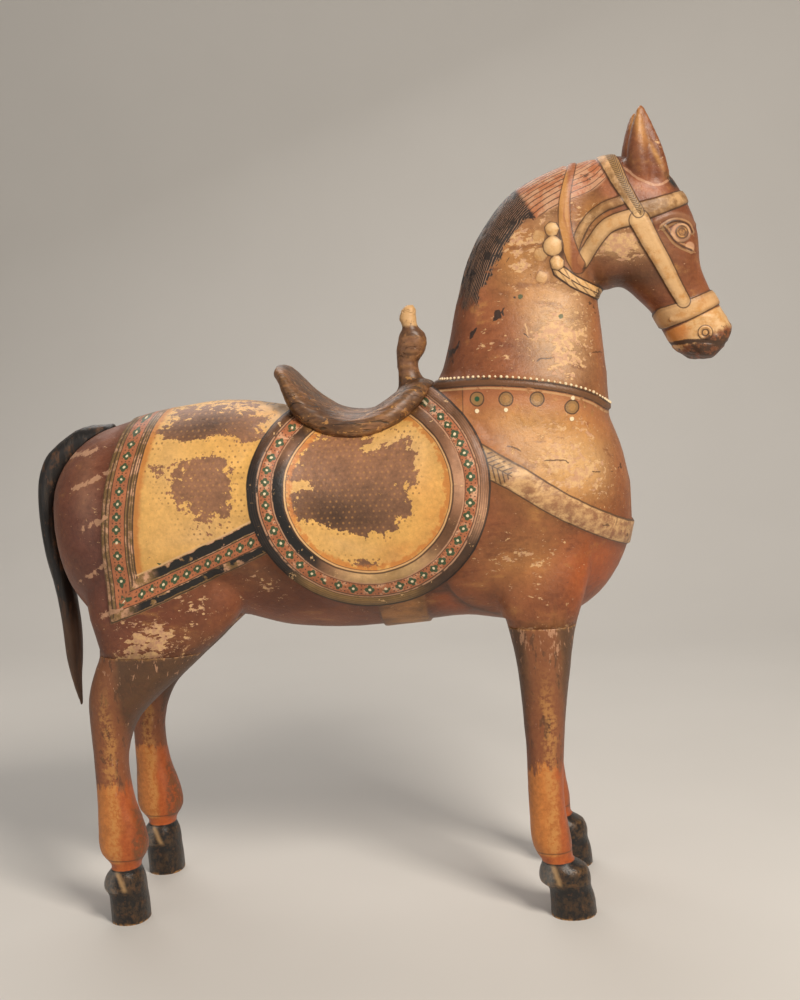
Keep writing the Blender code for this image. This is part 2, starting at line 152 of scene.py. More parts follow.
@dataclass
class Spots:
    """Points on the surface, seen in the side view."""

    places: Array

    @property
    def x(self) -> Array:
        """How far forward each point is."""
        return self.places[:, 0]

    @property
    def y(self) -> Array:
        """How far to the left each point is."""
        return self.places[:, 1]

    @property
    def z(self) -> Array:
        """How high each point is."""
        return self.places[:, 2]

    def along(self, route: Route, smooth: int = 6, reach: float = 0.08) -> tuple[Array, Array, Array]:
        """Where the points lie beside a line in the side view.

        Args:
            route: The line's points, as (x, z).
            smooth: Steps to each span of the line.
            reach: How far beside the line points are looked at.

        Returns:
            The distance to the line, the distance run along it, and the distance across it, which is
            positive on the left of its direction. Points beyond that are given OUT_OF_REACH.
        """
        line = curve_through(route, smooth)
        low, high = line.min(axis=0) - reach, line.max(axis=0) + reach
        near = np.nonzero((self.x > low[0]) & (self.x < high[0]) & (self.z > low[1]) & (self.z < high[1]))[0]
        x, z = self.x[near], self.z[near]
        nearest, across = np.full((2, len(near)), OUT_OF_REACH)
        run_to = np.zeros(len(near))
        run = 0.0
        for (x0, z0), (x1, z1) in zip(line[:-1], line[1:]):
            step_x, step_z = x1 - x0, z1 - z0
            length = math.hypot(step_x, step_z)
            share = np.clip(((x - x0) * step_x + (z - z0) * step_z) / length**2, 0, 1)
            away = np.hypot(x - x0 - share * step_x, z - z0 - share * step_z)
            closer = away < nearest
            side = (z - z0) * step_x - (x - x0) * step_z
            nearest = np.where(closer, away, nearest)
            run_to = np.where(closer, run + share * length, run_to)
            across = np.where(closer, np.where(side > 0, away, -away), across)
            run += length
        found = np.full((3, len(self.places)), OUT_OF_REACH)
        found[1] = 0.0
        found[:, near] = nearest, run_to, across
        return found[0], found[1], found[2]

    def nearest_of(self, routes: tuple[Route, ...]) -> Array:
        """The distance from the nearest of several lines in the side view."""
        return np.min([self.along(route, 3)[0] for route in routes], axis=0)

    def across_of(self, routes: tuple[Route, ...]) -> Array:
        """The distance from the nearest of several lines, which is negative on the right of its direction."""
        across = np.full(len(self.places), OUT_OF_REACH)
        for route in routes:
            side = self.along(route, 3)[2]
            across = np.where(np.abs(side) < np.abs(across), side, across)
        return across

    def patch(self, x: float, z: float, long: float, wide: float, turn: float = 0.0) -> Array:
        """A soft oval in the side view.

        Args:
            x: Its middle.
            z: Its middle.
            long: Half its length.
            wide: Half its width.
            turn: How far its length is turned up from +X, in degrees.

        Returns:
            1 at its middle, falling to 0 at about one and a half times its size.
        """
        cosine, sine = math.cos(math.radians(turn)), math.sin(math.radians(turn))
        run = (self.x - x) * cosine + (self.z - z) * sine
        rise = (self.z - z) * cosine - (self.x - x) * sine
        return np.exp(-((run / long) ** 2 + (rise / wide) ** 2))


# Meshes


def places_of(data: bpy.types.Mesh) -> Array:
    """The vertices of a mesh, one row each."""
    places = np.empty(len(data.vertices) * 3)
    data.vertices.foreach_get("co", places)
    return places.reshape(-1, 3)


def normals_of(data: bpy.types.Mesh) -> Array:
    """The directions that the vertices of a mesh face."""
    normals = np.empty(len(data.vertices) * 3)
    data.vertex_normals.foreach_get("vector", normals)
    return normals.reshape(-1, 3)


def move_to(data: bpy.types.Mesh, places: Array) -> None:
    """Writes rows of vertices back to a mesh."""
    data.vertices.foreach_set("co", places.ravel())
    data.update()


def joined(data: bpy.types.Mesh) -> tuple[Array, Array]:
    """The two vertex numbers of every edge of a mesh."""
    edges = np.empty(len(data.edges) * 2, dtype=np.int64)
    data.edges.foreach_get("vertices", edges)
    first, second = edges.reshape(-1, 2).T
    return first, second


def spread(values: Array, first: Array, second: Array) -> Array:
    """The mean of each vertex's neighbours.

    Args:
        values: One row for each vertex.
        first: The first vertex of each edge.
        second: The second vertex of each edge.

    Returns:
        The means, one row for each vertex.
    """
    count = len(values)
    neighbours = np.maximum(np.bincount(np.concatenate((first, second)), minlength=count), 1)
    rows = values.reshape(count, -1)
    total = np.empty_like(rows)
    for column in range(rows.shape[1]):
        single = rows[:, column]
        total[:, column] = (np.bincount(first, single[second], minlength=count)
                            + np.bincount(second, single[first], minlength=count))
    return (total / neighbours[:, None]).reshape(values.shape)


def relax(data: bpy.types.Mesh, rounds: int, amount: Array) -> None:
    """Smooths a mesh without shrinking it.

    Args:
        data: The mesh.
        rounds: How many times it is smoothed.
        amount: A share for each vertex.
    """
    first, second = joined(data)
    places = places_of(data)
    for step in range(rounds * 2):
        strength = 0.5 if step % 2 == 0 else -0.52
        places = places + strength * amount[:, None] * (spread(places, first, second) - places)
    move_to(data, places)


def bake_modifiers(made: bpy.types.Object) -> None:
    """Replaces an object's mesh by what its modifiers make of it."""
    bpy.context.view_layer.update()
    evaluated = made.evaluated_get(bpy.context.evaluated_depsgraph_get())
    data = bpy.data.meshes.new_from_object(evaluated)
    made.modifiers.clear()
    made.data = data


def object_from(name: str, mesh: bmesh.types.BMesh) -> bpy.types.Object:
    """Turns a bmesh into a named object whose faces point out."""
    bmesh.ops.recalc_face_normals(mesh, faces=mesh.faces)
    data = bpy.data.meshes.new(name)
    mesh.to_mesh(data)
    mesh.free()
    made = bpy.data.objects.new(name, data)
    bpy.context.scene.collection.objects.link(made)
    return made


def fuse(made: bpy.types.Object, voxel: float) -> None:
    """Makes one skin out of overlapping lofts."""
    remesh = made.modifiers.new("One skin", "REMESH")
    remesh.mode = "VOXEL"
    remesh.voxel_size = voxel
    bake_modifiers(made)


def refine(made: bpy.types.Object) -> None:
    """Halves the pitch of a mesh on a smooth surface."""
    finer = made.modifiers.new("Finer", "SUBSURF")
    finer.levels = finer.render_levels = 1
    bake_modifiers(made)


def refine_where(made: bpy.types.Object, chosen: Array) -> None:
    """Halves the pitch of a mesh where the chosen vertices are.

    Args:
        made: The object.
        chosen: True for the vertices whose edges are halved.
    """
    mesh = bmesh.new()
    mesh.from_mesh(made.data)
    mesh.verts.ensure_lookup_table()
    edges = [edge for edge in mesh.edges if chosen[edge.verts[0].index] and chosen[edge.verts[1].index]]
    bmesh.ops.subdivide_edges(mesh, edges=edges, cuts=1, use_grid_fill=True)
    mesh.to_mesh(made.data)
    mesh.free()


def thin_out(made: bpy.types.Object, triangles: int, keep: Optional[Array] = None) -> None:
    """Leaves about that many triangles, where the carving needs them.

    Args:
        made: The object.
        triangles: How many may stay.
        keep: 1 where the carving is plain, and less where more of it is kept.
    """
    made.data.calc_loop_triangles()
    count = len(made.data.loop_triangles)
    if count <= triangles:
        return
    decimate = made.modifiers.new("Fewer facets", "DECIMATE")
    decimate.ratio = triangles / count
    decimate.use_collapse_triangulate = True
    if keep is not None:
        group = made.vertex_groups.new(name="Plain")
        for level in np.unique(keep):
            group.add(np.nonzero(keep == level)[0].tolist(), float(level), "REPLACE")
        decimate.vertex_group = group.name
        decimate.vertex_group_factor = 0.02
    bake_modifiers(made)
    made.vertex_groups.clear()


def copy_of(made: bpy.types.Object, name: str) -> bpy.types.Object:
    """A copy of an object with a mesh of its own."""
    twin = bpy.data.objects.new(name, made.data.copy())
    bpy.context.scene.collection.objects.link(twin)
    return twin


def cut(made: bpy.types.Object, operation: str, cutter: bpy.types.Object) -> None:
    """One Boolean on closed skins, baked at once."""
    boolean = made.modifiers.new(operation.title(), "BOOLEAN")
    boolean.operation = operation
    boolean.solver = "MANIFOLD"
    boolean.object = cutter
    bake_modifiers(made)


def largest_body(made: bpy.types.Object) -> None:
    """Drops the crumbs that a cut can leave."""
    data = made.data
    first, second = joined(data)
    group = np.arange(len(data.vertices))
    while True:
        lowest = group.copy()
        np.minimum.at(lowest, first, group[second])
        np.minimum.at(lowest, second, group[first])
        lowest = lowest[lowest]
        if np.array_equal(lowest, group):
            break
        group = lowest
    names, counts = np.unique(group, return_counts=True)
    if len(names) == 1:
        return
    drop = np.nonzero(group != names[counts.argmax()])[0]
    mesh = bmesh.new()
    mesh.from_mesh(data)
    mesh.verts.ensure_lookup_table()
    bmesh.ops.delete(mesh, geom=[mesh.verts[index] for index in drop], context="VERTS")
    mesh.to_mesh(data)
    mesh.free()


def write_value(data: bpy.types.Mesh, name: str, values: Array) -> None:
    """Keeps a number for each vertex under a name that materials read."""
    attribute = data.attributes.new(name, "FLOAT", "POINT")
    attribute.data.foreach_set("value", values.astype(np.float32))


def write_colour(data: bpy.types.Mesh, name: str, colours: Array) -> None:
    """Keeps a colour for each vertex under a name that materials read."""
    attribute = data.attributes.new(name, "FLOAT_COLOR", "POINT")
    full = np.ones((len(colours), 4), dtype=np.float32)
    full[:, :3] = colours
    attribute.data.foreach_set("color", full.ravel())


@dataclass
class Lofts:
    """Closed lofts gathered in one mesh. A leg leans towards the middle plane at its top."""

    lean_from: float = 0.290
    lean_to: float = 0.450
    mesh: bmesh.types.BMesh = field(default_factory=bmesh.new)

    def add(self, stations: tuple[Station, ...], middle_y: float = 0.0, squareness: float = 2.2,
            sides: int = 36, hollow: float = 0.0, hollow_turn: float = 0.0, lean: float = 0.0) -> None:
        """Adds one loft.

        Args:
            stations: The sections, as low x, low z, high x, high z, half width.
            middle_y: The plane that its sections stand on.
            squareness: 2 for an ellipse, and more for a squarer section.
            sides: Points round each section.
            hollow: How deep each section is dented, as in an ear.
            hollow_turn: The angle of the dent.
            lean: How far the top comes in towards the middle plane.
        """
        turns = np.arange(sides) * 2 * math.pi / sides
        across = np.sign(np.cos(turns)) * np.abs(np.cos(turns)) ** (2 / squareness)
        along = np.sign(np.sin(turns)) * np.abs(np.sin(turns)) ** (2 / squareness)
        away = np.angle(np.exp(1j * (turns - hollow_turn)))
        dent = 1 - hollow * np.exp(-(away / 0.6) ** 2)
        rings = []
        for low_x, low_z, high_x, high_z, half in curve_through(stations, 4):
            inward = lean * ramp((low_z + high_z) / 2, self.lean_from, self.lean_to)
            middle = np.array(((low_x + high_x) / 2, middle_y - inward, (low_z + high_z) / 2))
            upward = np.array(((high_x - low_x) / 2, 0.0, (high_z - low_z) / 2))
            sideways = (0.0, max(half, 0.001), 0.0)
            points = middle + np.outer(along * dent, upward) + np.outer(across * dent, sideways)
            rings.append([self.mesh.verts.new(point) for point in points])
        for ring, following in zip(rings[:-1], rings[1:]):
            for here in range(sides):
                beside = (here + 1) % sides
                self.mesh.faces.new((ring[here], ring[beside], following[beside], following[here]))
        self.mesh.faces.new(rings[0][::-1])
        self.mesh.faces.new(rings[-1])


# Shader nodes


class Reading:
    """A number that shader nodes work out for each point of the surface."""

    def __init__(self, brush: "Brush", socket: bpy.types.NodeSocket) -> None:
        """Keeps the socket that the number comes from."""
        self.brush = brush
        self.socket = socket

    def __add__(self, other: "Number") -> "Reading":
        """Sum."""
        return self.brush.math("ADD", self, other)

    __radd__ = __add__

    def __sub__(self, other: "Number") -> "Reading":
        """Difference."""
        return self.brush.math("SUBTRACT", self, other)

    def __rsub__(self, other: "Number") -> "Reading":
        """Difference from a plain number."""
        return self.brush.math("SUBTRACT", other, self)

    def __mul__(self, other: "Number") -> "Reading":
        """Product."""
        return self.brush.math("MULTIPLY", self, other)

    __rmul__ = __mul__

    def __truediv__(self, other: "Number") -> "Reading":
        """Quotient."""
        return self.brush.math("DIVIDE", self, other)

    def size(self) -> "Reading":
        """The number without its sign."""
        return self.brush.math("ABSOLUTE", self)

    def lower(self, other: "Number") -> "Reading":
        """The lower of two numbers."""
        return self.brush.math("MINIMUM", self, other)

    def higher(self, other: "Number") -> "Reading":
        """The higher of two numbers."""
        return self.brush.math("MAXIMUM", self, other)

    def saw(self) -> "Reading":
        """The number within its own unit, from -0.5 to 0.5."""
        return self.brush.math("SUBTRACT", self.brush.math("FRACT", self), 0.5)

    def wave(self) -> "Reading":
        """Its sine."""
        return self.brush.math("SINE", self)


Number = Union[float, Reading]
Tint = Union[Colour, "Pigment", bpy.types.NodeSocket]


class Effect(Enum):
    """The effects that several finishes share, each a node group."""

    FLAKING = "Flaking paint"
    STREAKS = "Paint gone in streaks"
    DRIPS = "Paint gone in drips"
    GRAIN = "Wood grain"
    GRIME = "Settled grime"


class Brush:
    """Works in one shader tree and hands out its values, patterns and colours."""

    def __init__(self, tree: bpy.types.NodeTree) -> None:
        """Starts on a tree."""
        self.tree = tree
        self.ready: dict[str, bpy.types.NodeSocket] = {}

    def feed(self, socket: bpy.types.NodeSocket, value: Union[Number, Tint, tuple]) -> None:
        """Links a value to a socket, or sets it there when it is constant."""
        if isinstance(value, Reading):
            self.tree.links.new(value.socket, socket)
        elif isinstance(value, bpy.types.NodeSocket):
            self.tree.links.new(value, socket)
        elif isinstance(value, Pigment):
            socket.default_value = (*value.value, 1.0)
        elif isinstance(value, tuple):
            full = value if len(value) == len(socket.default_value) else (*value, 1.0)
            socket.default_value = full
        else:
            socket.default_value = value

    def math(self, operation: str, *values: Number) -> Reading:
        """One Math node."""
        node = self.tree.nodes.new("ShaderNodeMath")
        node.operation = operation
        for socket, value in zip(node.inputs, values):
            self.feed(socket, value)
        return Reading(self, node.outputs[0])

    def value(self, name: str) -> Reading:
        """A number that the mesh keeps under that name."""
        if name not in self.ready:
            node = self.tree.nodes.new("ShaderNodeAttribute")
            node.attribute_name = name
            self.ready[name] = node.outputs["Fac"]
        return Reading(self, self.ready[name])

    def colour(self, name: str) -> bpy.types.NodeSocket:
        """A colour that the mesh keeps under that name."""
        if name not in self.ready:
            node = self.tree.nodes.new("ShaderNodeAttribute")
            node.attribute_name = name
            self.ready[name] = node.outputs["Color"]
        return self.ready[name]

    def place(self) -> bpy.types.NodeSocket:
        """The point on the object, in metres."""
        if "place" not in self.ready:
            self.ready["place"] = self.tree.nodes.new("ShaderNodeTexCoord").outputs["Object"]
        return self.ready["place"]

    def axis(self, letter: str) -> Reading:
        """One coordinate of the point on the object, X, Y or Z, which the mesh keeps as a number."""
        return self.value(f"place_{letter.lower()}")

    def rise(self, value: Number, start: float, end: float) -> Reading:
        """Grades a value smoothly from 0 at start to 1 at end."""
        node = self.tree.nodes.new("ShaderNodeMapRange")
        node.interpolation_type = "SMOOTHSTEP"
        flip = end < start
        self.feed(node.inputs["Value"], value)
        node.inputs["From Min"].default_value = end if flip else start
        node.inputs["From Max"].default_value = start if flip else end
        node.inputs["To Min"].default_value = 1.0 if flip else 0.0
        node.inputs["To Max"].default_value = 0.0 if flip else 1.0
        return Reading(self, node.outputs[0])

    def within(self, value: Number, low: float, high: float, soft: float = 0.0004) -> Reading:
        """1 where a value lies between two others, with a soft edge at each."""
        return self.rise(value, low - soft, low + soft) * self.rise(value, high + soft, high - soft)

    def line(self, value: Number, middle: float, half: float, soft: float = 0.0004) -> Reading:
        """1 on a line of that half width, where a distance has that value."""
        away = self.math("ABSOLUTE", self.math("SUBTRACT", value, middle))
        return self.rise(away, half + soft, max(half - soft, 0.0))

    def mix(self, share: Number, under: Tint, over: Tint) -> bpy.types.NodeSocket:
        """Lays one colour over another."""
        node = self.tree.nodes.new("ShaderNodeMix")
        node.data_type = "RGBA"
        self.feed(node.inputs["Factor"], share)
        self.feed(node.inputs[6], under)
        self.feed(node.inputs[7], over)
        return node.outputs[2]

    def blend(self, share: Number, under: Number, over: Number) -> Reading:
        """Goes from one number to another."""
        node = self.tree.nodes.new("ShaderNodeMix")
        self.feed(node.inputs["Factor"], share)
        self.feed(node.inputs[2], under)
        self.feed(node.inputs[3], over)
        return Reading(self, node.outputs[0])

    def times(self, colour: Tint, shade: Number) -> bpy.types.NodeSocket:
        """A colour made lighter or darker by a number."""
        node = self.tree.nodes.new("ShaderNodeHueSaturation")
        self.feed(node.inputs["Color"], colour)
        self.feed(node.inputs["Value"], shade)
        return node.outputs[0]

    def stretched(self, stretch: tuple[float, float, float], shift: float = 0.0) -> bpy.types.NodeSocket:
        """The point on the object with its axes scaled, for a pattern that runs along one of them."""
        place = self.place()
        node = self.tree.nodes.new("ShaderNodeMapping")
        self.feed(node.inputs["Vector"], place)
        node.inputs["Scale"].default_value = stretch
        node.inputs["Location"].default_value = (shift, shift * 0.7, shift * 1.3)
        return node.outputs[0]

    def noise(self, size: float, detail: float = 3.0, stretch: tuple[float, float, float] = (1, 1, 1),
              shift: float = 0.0, rough: float = 0.55) -> Reading:
        """Cloudy noise around 0.5.

        Args:
            size: The width of its clouds, in metres.
            detail: How many finer layers it has.
            stretch: The scale of each axis.
            shift: Which clouds they are.
            rough: How strong the finer layers are.

        Returns:
            The noise.
        """
        place = self.stretched(stretch, shift)
        node = self.tree.nodes.new("ShaderNodeTexNoise")
        self.feed(node.inputs["Vector"], place)
        node.inputs["Scale"].default_value = 1 / size
        node.inputs["Detail"].default_value = detail
        node.inputs["Roughness"].default_value = rough
        return Reading(self, node.outputs[0])

    def flakes(self, amount: Number, size: float, kind: Effect = Effect.FLAKING,
               edge: float = 0.03) -> Reading:
        """Ragged islands where a coat is gone.

        Args:
            amount: How much of it is gone, where 0.5 is half.
            size: The width of the larger islands, in metres.
            kind: Even, in streaks or in drips.
            edge: How soft their edges are.

        Returns:
            1 where the coat is gone.
        """
        return self.effect(kind, "Mask", amount=amount, size=size, edge=edge)

    def spot(self, beside: Number, up: Number, radius: float) -> Reading:
        """1 within a small round spot, from the distances along and across."""
        away = self.math("MULTIPLY_ADD", beside, beside, self.math("MULTIPLY", up, up))
        return self.rise(away, (radius * 1.25) ** 2, (radius * 0.75) ** 2)

    def thin(self, name: str, shift: Number = 0.0) -> Reading:
        """The distance from thin lines on the mesh, without false ones where its sign turns over."""
        return (self.value(name) + shift).size().higher(self.value("near_line") - 0.003)

    def from_point(self, x: float, z: float) -> Reading:
        """The distance from a point in the side view, in metres."""
        ahead, up = self.axis("X") - x, self.axis("Z") - z
        return self.math("SQRT", self.math("MULTIPLY_ADD", ahead, ahead, up * up))

    def nearest(self, points: tuple[tuple[float, float], ...]) -> Reading:
        """The distance from the nearest of several points in the side view."""
        distances = [self.from_point(x, z) for x, z in points]
        while len(distances) > 1:
            distances.append(distances.pop(0).lower(distances.pop(0)))
        return distances[0]

    def lattice(self, wide: float, tall: float) -> Reading:
        """The distance from the nearest point of staggered rows of points."""
        row = self.axis("Z") / tall
        shifted = self.axis("X") / wide + self.math("FLOOR", row) * 0.5
        beside, up = shifted.saw() * wide, row.saw() * tall
        return self.math("SQRT", beside * beside + up * up)

    def effect(self, kind: Effect, output: str, **inputs: Union[Number, tuple]) -> Reading:
        """Places one of the shared node groups with its own values.

        Args:
            kind: Which group.
            output: The name of the output that is wanted.
            inputs: Its inputs by name, with _ for a space.

        Returns:
            What the output gives.
        """
        node = self.tree.nodes.new("ShaderNodeGroup")
        node.node_tree = bpy.data.node_groups[kind.value]
        for name, value in inputs.items():
            self.feed(node.inputs[name.replace("_", " ").capitalize()], value)
        return Reading(self, node.outputs[output])


def new_group(kind: Effect, inputs: dict[str, float], outputs: tuple[str, ...]) -> tuple[Brush, dict, dict]:
    """Starts a shared node group.

    Args:
        kind: Which effect it is.
        inputs: Its inputs and their usual values.
        outputs: Its outputs.

    Returns:
        A brush for its tree, its inputs as readings, and its output sockets.
    """
    tree = bpy.data.node_groups.new(kind.value, "ShaderNodeTree")
    for name, value in inputs.items():
        tree.interface.new_socket(name, in_out="INPUT", socket_type="NodeSocketFloat").default_value = value
    for name in outputs:
        tree.interface.new_socket(name, in_out="OUTPUT", socket_type="NodeSocketFloat")
    brush = Brush(tree)
    source = tree.nodes.new("NodeGroupInput")
    drain = tree.nodes.new("NodeGroupOutput")
    return (brush, {name: Reading(brush, source.outputs[name]) for name in inputs},
            {name: drain.inputs[name] for name in outputs})


def two_layers(brush: Brush, place: bpy.types.NodeSocket, size: Reading, rough: float,
               *layers: tuple[float, float]) -> list[Reading]:
    """Noise whose size is an input of its group, once for each layer.

    Args:
        brush: The brush of the group.
        place: The point that the noise is worked out for.
        size: The width of its clouds.
        rough: How strong the finer octaves are.
        layers: How much finer each layer is, and its detail.

    Returns:
        The layers.
    """
    made = []
    for finer, detail in layers:
        scale = brush.math("DIVIDE", finer, size)
        noise = brush.tree.nodes.new("ShaderNodeTexNoise")
        brush.feed(noise.inputs["Vector"], place)
        brush.feed(noise.inputs["Scale"], scale)
        noise.inputs["Detail"].default_value = detail
        noise.inputs["Roughness"].default_value = rough
        made.append(Reading(brush, noise.outputs[0]))
    return made


def build_flaking() -> None:
    """Ragged islands where a coat is gone: even, in streaks and in drips."""
    for kind, stretch in ((Effect.FLAKING, (1.0, 1.0, 1.0)), (Effect.STREAKS, (0.5, 1.0, 1.0)),
                          (Effect.DRIPS, (1.2, 1.0, 0.4))):
        brush, given, out = new_group(kind, {"Amount": 0.3, "Size": 0.012, "Edge": 0.03}, ("Mask",))
        place = brush.stretched(stretch)
        coarse, fine = two_layers(brush, place, given["Size"], 0.62, (1.0, 4.0), (3.1, 5.0))
        level = coarse * 0.62 + fine * 0.38
        over = (level + given["Amount"] * 0.52 - 0.76) / given["Edge"]
        brush.feed(out["Mask"], brush.rise(over, -0.5, 0.5))


def build_grain() -> None:
    """Fibres and open checks that run along X."""
    brush, given, out = new_group(Effect.GRAIN, {"Size": 0.004}, ("Fibres", "Checks"))
    place = brush.stretched((0.1, 1.0, 1.0))
    fibres, checks = two_layers(brush, place, given["Size"], 0.5, (1.0, 4.0), (0.4, 3.0))
    brush.feed(out["Fibres"], brush.rise(fibres, 0.40, 0.64))
    away = (checks - 0.5).size()
    brush.feed(out["Checks"], brush.rise(away, 0.020, 0.004) * brush.rise(fibres, 0.42, 0.6))


def build_hollow_darkening() -> None:
    """Darkens the hollows and the edges of relief. Hollow comes from the mesh."""
    brush, given, out = new_group(Effect.GRIME, {"Hollow": 0.0, "Amount": 0.5}, ("Mask",))
    cloud = brush.noise(0.03, 4.0)
    level = given["Hollow"] * (0.6 + cloud * 0.8) * given["Amount"]
    brush.feed(out["Mask"], brush.rise(level, 0.02, 0.8))


@dataclass
class Coat:
    """The paint on one material as it is built up, from the wood to the last line."""

    brush: Brush
    colour: Tint
    roughness: Number = 0.5
    height: Number = 0.0

    def lay(self, mask: Number, colour: Tint, roughness: Optional[float] = None,
            height: float = 0.0) -> None:
        """Lays a colour over what is there.

        Args:
            mask: Where it goes, from 0 to 1.
            colour: Its colour.
            roughness: Its roughness, where it changes that.
            height: How far it stands up, in metres.
        """
        self.colour = self.brush.mix(mask, self.colour, colour)
        if roughness is not None:
            self.roughness = self.brush.blend(mask, self.roughness, roughness)
        if height:
            self.height = self.brush.math("MULTIPLY_ADD", mask, height, self.height)

    def darken_hollows(self, amount: float, share: float, colour: Tint) -> None:
        """Darkens the hollows.

        Args:
            amount: How far it spreads.
            share: How much it covers.
            colour: Its colour.
        """
        darkening = self.brush.effect(Effect.GRIME, "Mask", hollow=self.brush.value("hollow"), amount=amount)
        self.lay(darkening * share, colour)

    def texture(self, fine: Reading) -> None:
        """Gives painted wood its slight unevenness, from its fine noise and a finer one."""
        self.height = self.height + fine * 0.0007 + self.brush.noise(0.0020, 2.0, shift=0.4) * 0.00020

    def finish(self, material: bpy.types.Material, specular: float = 0.4) -> None:
        """Joins the coat to the material's shader.

        Args:
            material: The material.
            specular: How much it shines.
        """
        shader = material.node_tree.nodes["Principled BSDF"]
        self.brush.feed(shader.inputs["Base Color"], self.colour)
        self.brush.feed(shader.inputs["Roughness"], self.roughness)
        shader.inputs["Metallic"].default_value = 0.0
        shader.inputs["Specular IOR Level"].default_value = specular
        bump = self.brush.tree.nodes.new("ShaderNodeBump")
        bump.inputs["Distance"].default_value = 1.0
        self.brush.feed(bump.inputs["Height"], self.height)
        self.brush.feed(shader.inputs["Normal"], Reading(self.brush, bump.outputs[0]))


def new_material(name: str) -> tuple[bpy.types.Material, Brush]:
    """An empty material and a brush for its tree."""
    material = bpy.data.materials.new(name)
    material.use_nodes = True
    return material, Brush(material.node_tree)


# The pigments, as linear colours


class Pigment(Enum):
    """Every colour that the horse is painted in or worn down to."""

    RED_BROWN = (0.165, 0.048, 0.016)
    DEEP_RED = (0.105, 0.022, 0.007)
    PLUM = (0.130, 0.042, 0.036)
    ORANGE_RED = (0.400, 0.082, 0.012)
    ORANGE = (0.560, 0.190, 0.035)
    TERRACOTTA = (0.290, 0.090, 0.030)
    CREAM = (0.680, 0.420, 0.190)
    PINK_CREAM = (0.540, 0.290, 0.165)
    ROSE = (0.270, 0.125, 0.062)
    GOLD = (0.540, 0.260, 0.070)
    YELLOW = (0.720, 0.400, 0.105)
    SALMON = (0.420, 0.140, 0.055)
    OLIVE = (0.250, 0.140, 0.045)
    UMBER = (0.060, 0.027, 0.012)
    BROWN = (0.130, 0.056, 0.022)
    BLACK = (0.010, 0.008, 0.007)
    GREEN = (0.014, 0.070, 0.028)
    WHITE = (0.820, 0.660, 0.420)
    SMOKE = (0.060, 0.045, 0.034)


Stain = tuple[float, float, float, float, float, float, Pigment]


def round_the_ring(turn: Array, knots: tuple[tuple[float, Pigment], ...]) -> Array:
    """Colours that change round a ring.

    Args:
        turn: The angle of each point, in degrees.
        knots: The angles and their colours.

    Returns:
        A colour for each point.
    """
    angles = [angle for angle, _ in knots]
    channels = zip(*(pigment.value for _, pigment in knots))
    return np.stack([np.interp(turn % 360, angles, channel, period=360) for channel in channels], axis=1)


def stain(colours: Array, share: Array, pigment: Pigment) -> Array:
    """Colours with a pigment rubbed over them."""
    share = np.clip(share, 0, 1)[:, None]
    return colours * (1 - share) + np.array(pigment.value) * share


def stained(spots: Spots, ground: Pigment, stains: tuple[Stain, ...], uneven: Array) -> Array:
    """A ground with stains over it.

    Args:
        spots: The points.
        ground: The colour of the ground.
        stains: The stains, in order.
        uneven: A factor on the stains at each point.

    Returns:
        A colour for each point.
    """
    colours = np.tile(np.array(ground.value), (len(spots.places), 1))
    for x, z, long, wide, turn, share, pigment in stains:
        colours = stain(colours, share * spots.patch(x, z, long, wide, turn) * uneven, pigment)
    return colours


# The ornaments. Each one knows its relief, what it marks on the mesh, and its paint


class Ornament:
    """Something carved and painted on the horse."""

    def relief(self, spots: Spots) -> Array:
        """How far it stands up at each point, in metres."""
        return np.zeros(len(spots.places))

    def marks(self, spots: Spots) -> dict[str, Array]:
        """The numbers and colours that its paint reads from the mesh."""
        return {}

    def paint(self, coat: Coat) -> None:
        """Lays its paint on the coat."""


@dataclass
class Flowers:
    """Four-petalled flowers with dots between them, along a band."""

    petal: float = 0.0027
    petal_out: float = 0.0031
    heart: float = 0.0016
    dot: float = 0.0009

    def paint(self, coat: Coat, within: Number, phase: Reading, pitch: Number, across: Reading) -> None:
        """Lays a row of flowers.

        Args:
            coat: The coat that they are painted on.
            within: Where the band is.
            phase: A number that is whole at each flower.
            pitch: The distance from flower to flower.
            across: The distance from the middle of the band.
        """
        brush = coat.brush
        wobble = (brush.noise(0.007, 2.0) - 0.5) * 0.0022
        beside = ((phase + 0.5).saw() * pitch + wobble).size()
        up = (across - wobble).size()
        out = beside.higher(up) - self.petal_out
        aside = beside.lower(up)
        petals = brush.rise(out * out + aside * aside, (self.petal * 1.15) ** 2, (self.petal * 0.85) ** 2)
        worn = brush.rise(brush.noise(0.016, 4.0, shift=3.1), 0.66, 0.60)
        coat.lay(petals * within * worn * 0.92, Pigment.GREEN)
        coat.lay(brush.spot(beside, up, self.heart) * within, Pigment.WHITE)
        between = phase.saw() * pitch
        for out in (0.0050, 0.0, -0.0050):
            coat.lay(brush.spot(between, across - out, self.dot) * within * 0.9, Pigment.UMBER)
        for out in (0.0057, -0.0057):
            coat.lay(brush.spot(between.size() - 0.0042, across - out, self.dot * 0.8) * within * 0.7,
                     Pigment.UMBER)


